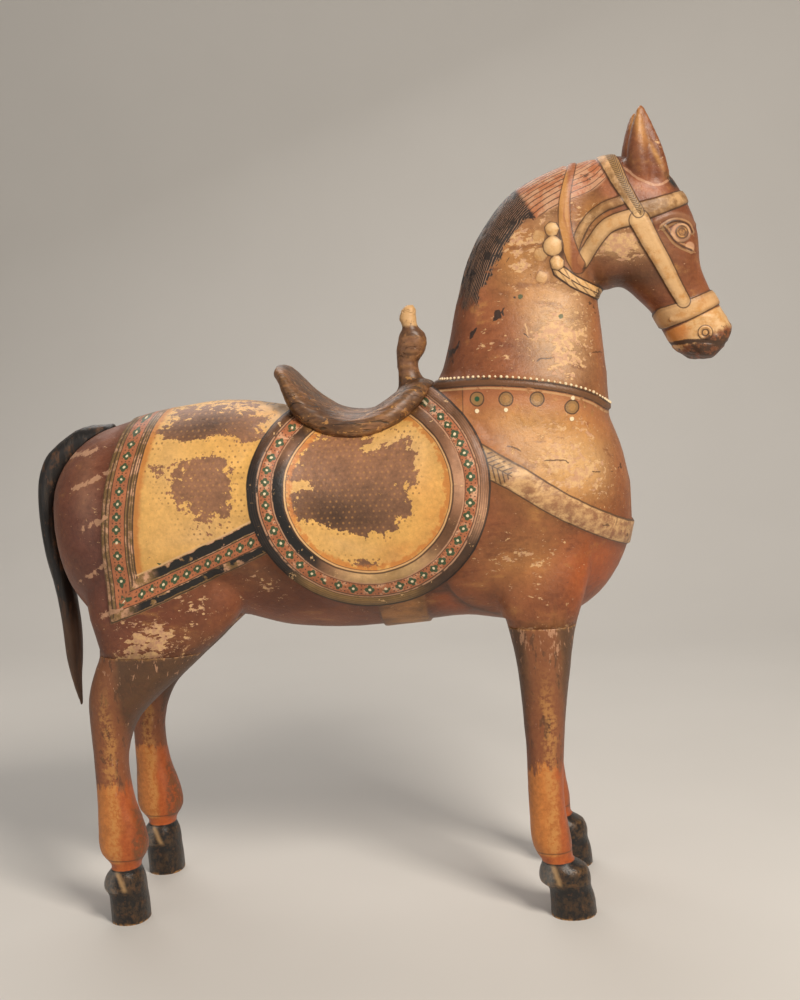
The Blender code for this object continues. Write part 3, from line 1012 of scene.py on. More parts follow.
@dataclass
class SaddleCloth(Ornament):
    """The round saddle cloth with its flowered border."""

    middle: tuple[float, float] = (0.001, 0.553)
    radius: float = 0.150
    top_radius: float = 0.137
    raised: float = 0.0045
    rim: float = 0.0015
    outer_band: float = 0.0145
    flowers_to: float = 0.0310
    inner_band: float = 0.0455
    fringe_to: float = 0.0560
    flower_turns: tuple[float, ...] = (
        -300, -290, -280, -270, -260, -250, -240, -230, -220, -210, -200, -193, -186, -179, -173, -166,
        -158, -150, -142, -134, -126, -117, -110, -102, -92, -83, -75, -68, -60, -53, -47, -40, -32, -25,
        -17, -10, -3, 5, 12, 19, 25, 31, 38, 44, 51)
    outer_colours: tuple[tuple[float, Pigment], ...] = (
        (0, Pigment.ROSE), (22, Pigment.ROSE), (40, Pigment.BROWN), (55, Pigment.ROSE),
        (120, Pigment.BROWN), (145, Pigment.BROWN), (158, Pigment.UMBER), (168, Pigment.BLACK),
        (226, Pigment.BLACK), (234, Pigment.OLIVE), (288, Pigment.OLIVE), (300, Pigment.UMBER),
        (330, Pigment.UMBER), (345, Pigment.PINK_CREAM))
    inner_colours: tuple[tuple[float, Pigment], ...] = (
        (0, Pigment.PINK_CREAM), (25, Pigment.ROSE), (58, Pigment.BROWN), (70, Pigment.GOLD),
        (128, Pigment.GOLD), (136, Pigment.UMBER), (143, Pigment.UMBER), (150, Pigment.ROSE),
        (163, Pigment.UMBER), (170, Pigment.BLACK), (232, Pigment.BLACK), (240, Pigment.ROSE),
        (262, Pigment.CREAM), (290, Pigment.OLIVE), (300, Pigment.CREAM), (312, Pigment.ROSE),
        (322, Pigment.BROWN), (336, Pigment.BROWN), (345, Pigment.ROSE))

    def inward(self, spots: Spots) -> Array:
        """The distance in from the edge of the cloth, which is drawn in at its top."""
        drop = spots.z - self.middle[1]
        return self.radius - np.hypot(spots.x - self.middle[0],
                                      np.where(drop > 0, drop * self.radius / self.top_radius, drop))

    def turn(self, spots: Spots) -> Array:
        """The angle round the cloth, from the front and upwards, in degrees."""
        drop = spots.z - self.middle[1]
        return np.degrees(np.arctan2(np.where(drop > 0, drop * self.radius / self.top_radius, drop),
                                     spots.x - self.middle[0]))

    def relief(self, spots: Spots) -> Array:
        """The cloth, and its border a little higher."""
        inward = self.inward(spots)
        border = ramp(inward, 0, 0.003) - ramp(inward, self.inner_band, self.inner_band + 0.003)
        grooves = sum(np.exp(-((inward - at) / 0.0012) ** 2) for at in (self.outer_band, self.flowers_to))
        return self.raised * ramp(inward, 0, 0.0035) + self.rim * border - 0.0008 * grooves

    def marks(self, spots: Spots) -> dict[str, Array]:
        """Its flowers, and the colours that change round it."""
        turn = self.turn(spots)
        upward = np.where(turn > 55, turn - 360, turn)
        numbers = np.arange(len(self.flower_turns))
        pitch = np.interp(upward, self.flower_turns, np.gradient(np.radians(self.flower_turns)))
        return {"cloth_phase": np.interp(upward, self.flower_turns, numbers),
                "cloth_pitch": pitch * (self.radius - 0.5 * (self.outer_band + self.flowers_to)),
                "cloth_outer": round_the_ring(turn, self.outer_colours),
                "cloth_inner": round_the_ring(turn, self.inner_colours)}

    def paint(self, coat: Coat) -> None:
        """Its bands from the edge inwards, the flowers, and the field."""
        brush = coat.brush
        ahead = brush.axis("X") - self.middle[0]
        drop = brush.axis("Z") - self.middle[1]
        drop = drop.higher(drop * (self.radius / self.top_radius))
        away = brush.math("SQRT", ahead * ahead + drop * drop)
        inward = (self.radius + (brush.noise(0.03, 3.0, shift=1.7) - 0.5) * 0.0024) - away
        wear = brush.noise(0.012, 6.0, shift=2.9, rough=0.66)
        tone = 0.40 + wear * 1.2
        coat.lay(brush.rise(inward, -0.0004, 0.0004), brush.times(brush.colour("cloth_outer"), tone))
        ribs = brush.rise((inward * 2300).wave(), 0.1, 0.9) * brush.within(inward, 0.002, 0.0115)
        coat.lay(ribs * 0.45, Pigment.UMBER)
        losses = brush.flakes(0.29, 0.012, edge=0.02)
        coat.lay(losses * brush.within(inward, 0.001, self.outer_band), Pigment.CREAM)
        band = brush.within(inward, self.outer_band, self.flowers_to)
        coat.lay(band, brush.times(brush.mix(brush.rise(wear, 0.50, 0.62), Pigment.SALMON,
                                             Pigment.PINK_CREAM), tone))
        middle = 0.5 * (self.outer_band + self.flowers_to)
        Flowers().paint(coat, band, brush.value("cloth_phase"), brush.value("cloth_pitch"), inward - middle)
        inner = brush.within(inward, self.flowers_to, self.inner_band)
        coat.lay(inner, brush.times(brush.colour("cloth_inner"), tone))
        coat.lay(inner * brush.flakes(0.27, 0.008, edge=0.02), Pigment.CREAM)
        paint_field(coat, brush.rise(inward, self.inner_band, self.inner_band + 0.0004))
        fringe = inward + (wear - 0.5) * 0.022
        coat.lay(brush.within(inward, self.inner_band, 1.0)
                 * brush.rise(fringe, self.fringe_to, self.fringe_to - 0.004)
                 * brush.rise(wear, 0.62, 0.50) * 0.8, Pigment.ORANGE)
        coat.lay(brush.within(inward, self.inner_band, self.inner_band + 0.0022) * 0.8, Pigment.CREAM)
        coat.lay(brush.line(inward, self.outer_band - 0.0016, 0.0011).higher(
            brush.line(inward, self.flowers_to + 0.0002, 0.0009)) * brush.rise(wear, 0.62, 0.50) * 0.8,
            Pigment.PINK_CREAM)
        for at, half, dark in ((0.0006, 0.0012, Pigment.BLACK), (self.outer_band, 0.0006, Pigment.UMBER),
                               (self.outer_band - 0.0030, 0.0004, Pigment.UMBER),
                               (self.flowers_to - 0.0012, 0.0005, Pigment.UMBER),
                               (self.inner_band - 0.0010, 0.0010, Pigment.UMBER),
                               (self.inner_band + 0.0025, 0.0005, Pigment.BROWN)):
            coat.lay(brush.line(inward, at, half) * 0.85, dark)


@dataclass
class RumpCloth(Ornament):
    """The cloth over the rump, with a flowered border behind and below."""

    rear_foot: tuple[float, float] = (-0.339, 0.470)
    sweep: float = 0.75
    low_edge: Route = ((-0.345, 0.389), (-0.330, 0.395), (-0.267, 0.4175), (-0.139, 0.4715),
                       (-0.080, 0.500))
    raised: float = 0.00315
    rear_flowers: tuple[float, ...] = (
        0.700, 0.6830, 0.6650, 0.6480, 0.6313, 0.6170, 0.6032, 0.5900, 0.5755, 0.5610, 0.5455, 0.5300,
        0.5138, 0.4975, 0.4810, 0.4642, 0.4480, 0.4330)
    low_flowers: tuple[float, ...] = (
        -0.304, -0.2902, -0.2770, -0.2616, -0.2475, -0.2323, -0.2173, -0.2038, -0.1906, -0.1759, -0.1612,
        -0.1470, -0.1330)
    rear_bands: tuple[float, ...] = (0.0065, 0.0115, 0.0325, 0.0440)
    low_bands: tuple[float, ...] = (0.0030, 0.0125, 0.0300, 0.0450)
    sprigs: tuple[Route, ...] = (((-0.272, 0.478), (-0.266, 0.471), (-0.262, 0.468)),
                                 ((-0.262, 0.480), (-0.265, 0.474), (-0.266, 0.470)))

    def rear(self, spots: Spots) -> Array:
        """The distance forward of its rear edge."""
        return spots.x - self.rear_foot[0] - self.sweep * (spots.z - self.rear_foot[1]) ** 2

    def above(self, spots: Spots) -> Array:
        """The distance above its lower edge."""
        return spots.along(self.low_edge, 4, 0.4)[2]

    def relief(self, spots: Spots) -> Array:
        """The cloth's thickness, with a groove inside each border."""
        rear, above = self.rear(spots), self.above(spots)
        grooves = np.exp(-((rear - self.rear_bands[3]) / 0.0012) ** 2) * (above > self.low_bands[3])
        grooves += np.exp(-((above - self.low_bands[3]) / 0.0012) ** 2) * (rear > self.rear_bands[3])
        inward = np.minimum(rear, above)
        return (self.raised * ramp(inward, 0, 0.0035) - 0.0008 * grooves) * (spots.x < 0)

    def marks(self, spots: Spots) -> dict[str, Array]:
        """Its lower edge, its flowers and the sprig."""
        return {"rump_above": self.above(spots), "sprig": spots.across_of(self.sprigs),
                "rump_rear_phase": np.interp(-spots.z, [-z for z in self.rear_flowers],
                                             np.arange(len(self.rear_flowers))),
                "rump_low_phase": np.interp(spots.x, self.low_flowers, np.arange(len(self.low_flowers)))}

    def paint(self, coat: Coat) -> None:
        """The field, the border behind, and the border below."""
        brush = coat.brush
        wobble = (brush.noise(0.025, 3.0, shift=5.2) - 0.5) * 0.0024
        height = brush.axis("Z") - self.rear_foot[1]
        rear = brush.axis("X") - self.rear_foot[0] - height * height * self.sweep + wobble
        above = brush.value("rump_above") + wobble
        whole = brush.rise(rear.lower(above), -0.0004, 0.0004) * brush.rise(brush.axis("X"), 0.01, 0.0)
        wear = brush.noise(0.012, 6.0, shift=4.4, rough=0.66)
        tone = 0.35 + wear * 1.3
        paint_field(coat, whole)
        coat.lay(brush.rise(brush.thin("sprig"), 0.0018, 0.0009) * whole, Pigment.GREEN)
        fringe = rear - self.rear_bands[3] + (wear - 0.5) * 0.012
        coat.lay(whole * brush.rise(fringe, 0.011, 0.004) * 0.8, Pigment.ORANGE)
        behind = whole * brush.rise(above - rear * 0.95, -0.0006, 0.0006) * brush.rise(
            rear, self.rear_bands[3] + 0.0004, self.rear_bands[3] - 0.0004)
        below = whole * brush.rise(rear * 0.95 - above, -0.0006, 0.0006) * brush.rise(
            above, self.low_bands[3] + 0.0004, self.low_bands[3] - 0.0004)
        for share, depth, bands, phase in ((behind, rear, self.rear_bands, "rump_rear_phase"),
                                           (below, above, self.low_bands, "rump_low_phase")):
            low, high = bands[1:3]
            coat.lay(share, brush.times(brush.mix(brush.rise(wear, 0.46, 0.60), Pigment.OLIVE,
                                                  Pigment.PINK_CREAM), tone))
            band = share * brush.within(depth, low, high)
            coat.lay(band, brush.times(Pigment.SALMON, tone))
            Flowers().paint(coat, band, brush.value(phase), 0.0155, depth - 0.5 * (low + high))
            for at in (low, high):
                coat.lay(brush.line(depth, at, 0.0006) * share, Pigment.UMBER)
        for at, half in ((0.0008, 0.0012), (self.rear_bands[0], 0.0010), (0.0362, 0.0013), (0.0398, 0.0006),
                         (0.0428, 0.0010)):
            coat.lay(brush.line(rear, at, half) * behind * 0.85, Pigment.UMBER)
        ragged = (wear - 0.5) * 0.006
        outer = brush.within(above + ragged, self.low_bands[0], self.low_bands[1] - 0.001)
        inner = brush.within(above + ragged, self.low_bands[2] + 0.002, self.low_bands[3] - 0.002)
        worn = brush.rise(brush.noise(0.018, 4.0, shift=8.8), 0.62, 0.56)
        coat.lay(outer * below * worn * brush.rise(brush.axis("X"), -0.32, -0.29), Pigment.BLACK)
        coat.lay(inner * below * worn * brush.rise(brush.axis("X"), -0.285, -0.265), Pigment.BLACK)
        coat.lay(brush.line(above, self.low_bands[3], 0.0010) * brush.rise(rear, 0.040, 0.044) * whole,
                 Pigment.CREAM)
        coat.lay(brush.line(above, 0.0010, 0.0012) * below * 0.9, Pigment.UMBER)


@dataclass
class AgeMarks(Ornament):
    """The scratches, the cracks and the pale seam that age has left on the near flank."""

    scratches: tuple[Route, ...] = (
        ((-0.402, 0.602), (-0.380, 0.605), (-0.350, 0.611)),
        ((-0.378, 0.566), (-0.355, 0.572), (-0.3290, 0.584)),
        ((-0.373, 0.509), (-0.352, 0.518), (-0.3300, 0.530)),
        ((-0.375, 0.445), (-0.357, 0.455), (-0.3355, 0.470)),
        ((-0.348, 0.400), (-0.336, 0.408), (-0.3220, 0.413)))
    cracks: tuple[Route, ...] = (
        ((0.203, 0.581), (0.219, 0.575), (0.240, 0.576), (0.251, 0.564), (0.267, 0.559), (0.304, 0.553)),
        ((0.150, 0.600), (0.175, 0.596), (0.192, 0.588)),
        ((0.205, 0.695), (0.222, 0.699), (0.245, 0.698), (0.270, 0.703), (0.291, 0.702)))
    seam: Route = ((0.160, 0.888), (0.167, 0.873), (0.181, 0.809), (0.199, 0.746), (0.207, 0.703))

    def relief(self, spots: Spots) -> Array:
        """The depth of the cracks and the scratches."""
        near = spots.y < 0
        return -0.0007 * near * (np.exp(-(spots.nearest_of(self.cracks) / 0.0016) ** 2)
                                 + 0.4 * np.exp(-(spots.nearest_of(self.scratches) / 0.003) ** 2))

    def marks(self, spots: Spots) -> dict[str, Array]:
        """The distances to each kind of mark."""
        beyond = OUT_OF_REACH * (spots.y > 0)
        return {"scratch": spots.across_of(self.scratches) + beyond,
                "crack": spots.across_of(self.cracks) + beyond,
                "seam": spots.across_of((self.seam,)) + beyond}

    def paint(self, coat: Coat) -> None:
        """Cream in the scratches, dark in the cracks, and a pale seam."""
        brush = coat.brush
        cloud = brush.noise(0.010, 5.0, shift=9.9, rough=0.7)
        scratch = brush.thin("scratch") + (cloud - 0.5) * 0.016
        coat.lay(brush.rise(scratch, 0.0034, 0.0024) * 0.85, Pigment.PINK_CREAM, 0.6)
        crack = brush.thin("crack", (cloud - 0.5) * 0.004)
        coat.lay(brush.rise(crack, 0.0011, 0.0005) * 0.8, Pigment.UMBER)
        seam = brush.thin("seam", (cloud - 0.5) * 0.005)
        coat.lay(brush.rise(seam, 0.0013, 0.0007) * 0.6, Pigment.CREAM)


def paint_field(coat: Coat, within: Number) -> None:
    """A field of cloth in worn yellow, rubbed through to brown, with rows of dots.

    Args:
        coat: The coat that it is painted on.
        within: Where the field is.
    """
    brush = coat.brush
    cloud = brush.noise(0.020, 7.0, shift=6.6, rough=0.68)
    amount = brush.value("field_bare")
    rubbed = brush.flakes(amount, 0.015, edge=0.02)
    dots = brush.rise(brush.lattice(0.0076, 0.0066), 0.0019, 0.0007) * brush.rise(cloud, 0.40, 0.56)
    fine = brush.noise(0.0045, 4.0, shift=7.7)
    coat.lay(within, brush.times(brush.colour("field"), 0.35 + cloud * 0.85 + fine * 0.45))
    coat.lay(within * dots * brush.within(amount, 0.22, 0.60, 0.10) * 0.75, Pigment.BROWN)
    under = brush.times(brush.colour("field_under"), cloud * 1.3 + fine * 0.9 - 0.1)
    under = brush.mix(dots * 0.45, under, Pigment.GOLD)
    coat.lay(within * rubbed, under, 0.5)
    coat.lay(within * brush.flakes(0.24, 0.005) * 0.7, Pigment.ROSE)


@dataclass
class Strap:
    """One strap, as a line in the side view with a width."""

    route: Route
    half: tuple[float, float]

    def inward(self, spots: Spots) -> Array:
        """The distance in from its edges, which is negative beside it."""
        away, run, _ = spots.along(self.route)
        return np.interp(run, (0.0, max(run.max(), 0.001)), self.half) - away


@dataclass
class BreastStrap(Ornament):
    """The strap from the saddle cloth round the breast, with a leaf painted at its root."""

    strap: Strap = field(default_factory=lambda: Strap(
        ((0.135, 0.586), (0.1515, 0.575), (0.1866, 0.5537), (0.2333, 0.5212), (0.2815, 0.493),
         (0.3330, 0.466)),
        (0.0165, 0.0150)))
    raised: float = 0.0035
    marks_at: tuple[Route, ...] = (((0.1795, 0.561), (0.1865, 0.559)), ((0.182, 0.5565), (0.184, 0.5635)),
                                   ((0.288, 0.499), (0.292, 0.492), (0.285, 0.494), (0.294, 0.487)))

    def relief(self, spots: Spots) -> Array:
        """The strap's thickness."""
        return self.raised * ramp(self.strap.inward(spots), -0.0015, 0.002) * (spots.x > 0.12)

    def marks(self, spots: Spots) -> dict[str, Array]:
        """Its edges, its length, its middle and the small marks on it."""
        _, run, across = spots.along(self.strap.route)
        return {"breast_in": self.strap.inward(spots), "breast_run": run, "breast_across": across,
                "breast_mark": spots.across_of(self.marks_at)}

    def paint(self, coat: Coat) -> None:
        """Its tan, its edge lines, the leaf and the marks."""
        brush = coat.brush
        ahead = brush.rise(brush.axis("X"), 0.120, 0.122)
        inward = brush.value("breast_in") + (brush.noise(0.02, 3.0, shift=2.0) - 0.5) * 0.0016
        whole = brush.rise(inward, -0.0004, 0.0004) * ahead
        wear = brush.noise(0.009, 6.0, (0.6, 1.0, 1.0), shift=2.2, rough=0.70)
        tan = brush.mix(brush.rise(wear, 0.34, 0.66), Pigment.ROSE, Pigment.CREAM)
        coat.lay(whole * 0.75, tan, 0.45)
        run, across = brush.value("breast_run"), brush.value("breast_across")
        coat.lay(brush.rise(run, 0.052, 0.040) * whole * 0.6, Pigment.OLIVE)
        leaf = brush.within(run + across.size() * 0.4, 0.014, 0.050, 0.001)
        leaf = leaf * brush.rise(inward, 0.001, 0.003) * ahead
        barbs = brush.rise(((run - across.size() * 0.9) * 900).wave(), 0.25, 0.8)
        coat.lay(leaf * barbs.higher(brush.line(across, 0.0, 0.0007)) * 0.85, Pigment.UMBER)
        coat.lay(brush.rise(brush.thin("breast_mark"), 0.0013, 0.0006) * whole * 0.7, Pigment.UMBER)
        coat.lay(brush.line(inward, 0.0004, 0.0009) * ahead * 0.85, Pigment.UMBER)
        coat.lay(brush.line(inward, 0.0035, 0.0012) * ahead * brush.rise(wear, 0.45, 0.6) * 0.6,
                 Pigment.CREAM)


@dataclass
class NeckBand(Ornament):
    """The band round the base of the neck, with its medallions below."""

    route: Route = ((0.060, 0.670), (0.090, 0.6715), (0.1423, 0.6735), (0.1911, 0.6700), (0.2392, 0.6615),
                    (0.2755, 0.6495), (0.3000, 0.6330))
    half: float = 0.0042
    raised: float = 0.0028
    bead_rise: float = 0.0065
    medallions: tuple[tuple[float, float], ...] = ((0.1379, 0.6534), (0.1734, 0.6519), (0.2109, 0.6500),
                                                   (0.2528, 0.6378))
    medallion: float = 0.0088
    drops: tuple[tuple[float, float], ...] = ((0.1375, 0.6390), (0.1729, 0.6387), (0.2522, 0.6232),
                                              (0.2545, 0.6486))
    panel_edge: float = 0.120

    def relief(self, spots: Spots) -> Array:
        """The raised band."""
        inward = self.half - spots.along(self.route)[0]
        return self.raised * ramp(inward, -0.0015, 0.002) * (spots.z > 0.60)

    def marks(self, spots: Spots) -> dict[str, Array]:
        """The distance above the band's middle."""
        return {"neck_up": spots.along(self.route)[2]}

    def paint(self, coat: Coat) -> None:
        """The dark band between its lines, the medallions and the drops."""
        brush = coat.brush
        high = brush.rise(brush.axis("Z"), 0.60, 0.602)
        up = brush.value("neck_up") + (brush.noise(0.03, 3.0, shift=6.0) - 0.5) * 0.0012
        worn = brush.rise(brush.noise(0.012, 5.0, shift=6.1), 0.36, 0.46)
        panel = brush.within(up, -0.060, -self.half, 0.001)
        panel = panel * brush.rise(brush.axis("X"), self.panel_edge - 0.0005, self.panel_edge + 0.0005)
        coat.lay(panel * worn * brush.rise(up, -0.050, -0.015) * 0.45, Pigment.SALMON)
        edge = brush.line(brush.axis("X"), self.panel_edge, 0.0008)
        coat.lay(edge * brush.within(up, -0.045, -self.half) * 0.6, Pigment.UMBER)
        coat.lay(brush.within(up, -self.half, self.half) * high * 0.85, Pigment.BROWN)
        coat.lay(brush.line(up, self.half, 0.0013) * high * worn, Pigment.UMBER)
        coat.lay(brush.line(up, -self.half, 0.0010) * high * worn * 0.9, Pigment.UMBER)
        coat.lay(brush.line(up, -self.half - 0.0030, 0.0012) * high * worn * 0.5, Pigment.CREAM)
        away = brush.nearest(self.medallions) + (brush.noise(0.008, 3.0) - 0.5) * 0.0016
        coat.lay(brush.rise(away, self.medallion, self.medallion - 0.0008) * (0.45 + worn * 0.4),
                 Pigment.OLIVE)
        coat.lay(brush.rise(away, 0.0050, 0.0042) * worn * 0.35, Pigment.GOLD)
        coat.lay(brush.line(away, self.medallion - 0.0004, 0.0008) * 0.9, Pigment.UMBER)
        centre = brush.from_point(*self.medallions[0])
        coat.lay(brush.rise(centre, 0.0052, 0.0044), Pigment.OLIVE)
        coat.lay(brush.rise(centre, 0.0036, 0.0026), Pigment.GREEN)
        drop = brush.nearest(self.drops) + (brush.noise(0.004, 2.0) - 0.5) * 0.0016
        coat.lay(brush.rise(drop, 0.0030, 0.0022), Pigment.WHITE, height=0.0006)


@dataclass
class Bridle(Ornament):
    """The straps of the bridle, the collar below it, and the knobs behind the jaw."""

    crown: Strap = field(default_factory=lambda: Strap(
        ((0.3065, 0.950), (0.3120, 0.934), (0.3215, 0.910), (0.3330, 0.888), (0.3430, 0.870)),
        (0.0125, 0.0070)))
    cheek: Strap = field(default_factory=lambda: Strap(
        ((0.3440, 0.860), (0.3565, 0.834), (0.3745, 0.800), (0.3855, 0.778), (0.3955, 0.760)),
        (0.0125, 0.0085)))
    brow: Strap = field(default_factory=lambda: Strap(
        ((0.3480, 0.8710), (0.3680, 0.8760), (0.3900, 0.8830), (0.4080, 0.8900)), (0.0115, 0.0085)))
    throat: Strap = field(default_factory=lambda: Strap(
        ((0.340, 0.8650), (0.318, 0.8605), (0.302, 0.8530), (0.286, 0.8345), (0.272, 0.8125)),
        (0.0100, 0.0085)))
    ridge: Strap = field(default_factory=lambda: Strap(
        ((0.322, 0.8850), (0.300, 0.8780), (0.282, 0.8650), (0.270, 0.8460), (0.260, 0.8160)),
        (0.0060, 0.0055)))
    nose: Strap = field(default_factory=lambda: Strap(
        ((0.372, 0.7400), (0.386, 0.7440), (0.403, 0.7490), (0.434, 0.7615), (0.449, 0.7660)),
        (0.0130, 0.0095)))
    collar: Strap = field(default_factory=lambda: Strap(
        ((0.2700, 0.948), (0.2657, 0.9353), (0.2545, 0.8907), (0.2540, 0.8540), (0.2610, 0.8240),
         (0.2680, 0.8090)),
        (0.0045, 0.0095)))
    cord: Strap = field(default_factory=lambda: Strap(
        ((0.2429, 0.8056), (0.2530, 0.7975), (0.2633, 0.7900), (0.2780, 0.7822), (0.2918, 0.7756)),
        (0.0075, 0.0075)))
    raised: float = 0.0028
    knobs: tuple[tuple[float, float, float], ...] = ((0.2376, 0.8562, 0.0090), (0.2380, 0.8353, 0.0122),
                                                     (0.2420, 0.8143, 0.0090))
    worn_knobs: tuple[tuple[float, float, float], ...] = ((0.2215, 0.8480, 0.0095),
                                                          (0.2225, 0.8260, 0.0095),
                                                          (0.2225, 0.7980, 0.0085))

    def straps(self) -> dict[str, Strap]:
        """The straps by the names of their marks."""
        names = ("crown", "cheek", "brow", "throat", "ridge", "nose", "collar", "cord")
        return {f"{name}_in": getattr(self, name) for name in names}

    def knob(self, spots: Spots, knobs: tuple) -> Array:
        """How far in each point is from the edge of the nearest knob, as a share of its radius."""
        return np.max([1 - np.hypot(spots.x - x, spots.z - z) / radius for x, z, radius in knobs], axis=0)

    def relief(self, spots: Spots) -> Array:
        """The straps' thickness and the round knobs."""
        ears = ramp(spots.z, 0.905, 0.920) * (spots.x > 0.333) * (np.abs(spots.y) > 0.012)
        height = np.zeros(len(spots.places))
        for strap in self.straps().values():
            inward = strap.inward(spots)
            round_back = 0.30 * ramp(inward, 0, 0.007)
            height = np.maximum(height, (0.8 + round_back) * ramp(inward, -0.0012, 0.0016))
        height *= (1 - ears) * (spots.x > 0.22) * (spots.z > 0.69)
        share = np.clip(self.knob(spots, self.knobs), 0, 1)
        worn = np.clip(self.knob(spots, self.worn_knobs), 0, 1)
        return (self.raised * height + 0.0050 * np.sqrt(share * (2 - share))
                + 0.0016 * np.sqrt(worn * (2 - worn)))

    def marks(self, spots: Spots) -> dict[str, Array]:
        """The edges of the straps, and how the crown strap and the cord run."""
        marks = {name: strap.inward(spots) for name, strap in self.straps().items()}
        for name, strap in (("crown", self.crown), ("cord", self.cord)):
            _, run, across = spots.along(strap.route)
            marks[f"{name}_run"], marks[f"{name}_across"] = run, across
        marks["knob"] = self.knob(spots, self.knobs)
        marks["worn_knob"] = self.knob(spots, self.worn_knobs)
        return marks

    def paint(self, coat: Coat) -> None:
        """The straps in worn cream with dark edges, the braid, the cord and the knobs."""
        brush = coat.brush
        wear = brush.noise(0.018, 6.0, shift=4.0, rough=0.66)
        tone = brush.mix(brush.rise(wear, 0.36, 0.62), Pigment.OLIVE, Pigment.CREAM)
        cream = brush.mix(brush.rise(wear, 0.30, 0.55), Pigment.GOLD, Pigment.CREAM)
        ragged = (wear - 0.5) * 0.0020
        for name, share, paint in (("ridge_in", 0.55, tone), ("throat_in", 0.80, cream),
                                   ("brow_in", 0.70, tone), ("nose_in", 0.70, cream),
                                   ("cheek_in", 0.85, cream)):
            inward = brush.value(name) + ragged
            coat.lay(brush.rise(inward, -0.0003, 0.0003) * share, paint)
            coat.lay(brush.rise(inward, 0.0055, 0.0015) * brush.rise(inward, -0.001, 0.0) * 0.35,
                     Pigment.BROWN)
            coat.lay(brush.line(inward, -0.0002, 0.0008) * 0.8, Pigment.UMBER)
        crown = brush.value("crown_in") + ragged
        coat.lay(brush.rise(crown, -0.0003, 0.0003) * 0.7, tone)
        across = brush.value("crown_across")
        braid = brush.rise(crown, 0.0008, 0.0020) * brush.within(across, -0.001, 0.0105, 0.0006)
        slant = brush.value("crown_run") + (across - 0.0048).size() * 1.1
        coat.lay(braid * 0.85, Pigment.OLIVE)
        coat.lay(brush.rise((slant * 1750).wave(), 0.15, 0.75) * braid * 0.85, Pigment.UMBER,
                 height=-0.0003)
        coat.lay(brush.line(crown, 0.0, 0.0008) * 0.8, Pigment.UMBER)
        collar = brush.value("collar_in") + ragged
        coat.lay(brush.rise(collar, -0.0003, 0.0003) * 0.8, Pigment.TERRACOTTA)
        inner = brush.rise(brush.value("collar_in"), 0.0075, 0.0050) * brush.rise(collar, -0.0003, 0.0003)
        coat.lay(inner * brush.rise(brush.axis("X"), 0.262, 0.256) * 0.75, Pigment.GOLD)
        coat.lay(brush.line(collar, 0.0, 0.0007) * 0.75, Pigment.UMBER)
        cord = brush.value("cord_in") + ragged
        twist = brush.value("cord_run") + brush.value("cord_across") * 2.2
        coat.lay(brush.rise(cord, -0.0003, 0.0003), cream)
        coat.lay(brush.rise((twist * 420).wave(), 0.3, 0.9) * brush.rise(cord, 0.0, 0.001)
                 * brush.rise(wear, 0.40, 0.55) * 0.7, Pigment.BROWN)
        groove = brush.line(brush.value("cord_across"), -0.0005, 0.0007) * brush.rise(cord, 0.0, 0.001)
        coat.lay(brush.line(cord, 0.0, 0.0012).higher(groove * brush.rise(wear, 0.40, 0.5)),
                 Pigment.UMBER)
        pale = brush.value("worn_knob")
        coat.lay(brush.rise(pale, -0.05, 0.25) * 0.6, cream)
        coat.lay(brush.line(pale, 0.0, 0.07, 0.05) * brush.rise(wear, 0.45, 0.55) * 0.5,
                 Pigment.BROWN)
        knob = brush.value("knob")
        coat.lay(brush.rise(knob, -0.16, -0.06) * 0.85, Pigment.UMBER)
        coat.lay(brush.rise(knob, -0.02, 0.08), cream)
        coat.lay(brush.rise(knob, 0.30, 0.0) * brush.rise(knob, -0.02, 0.06) * 0.4, Pigment.BROWN)


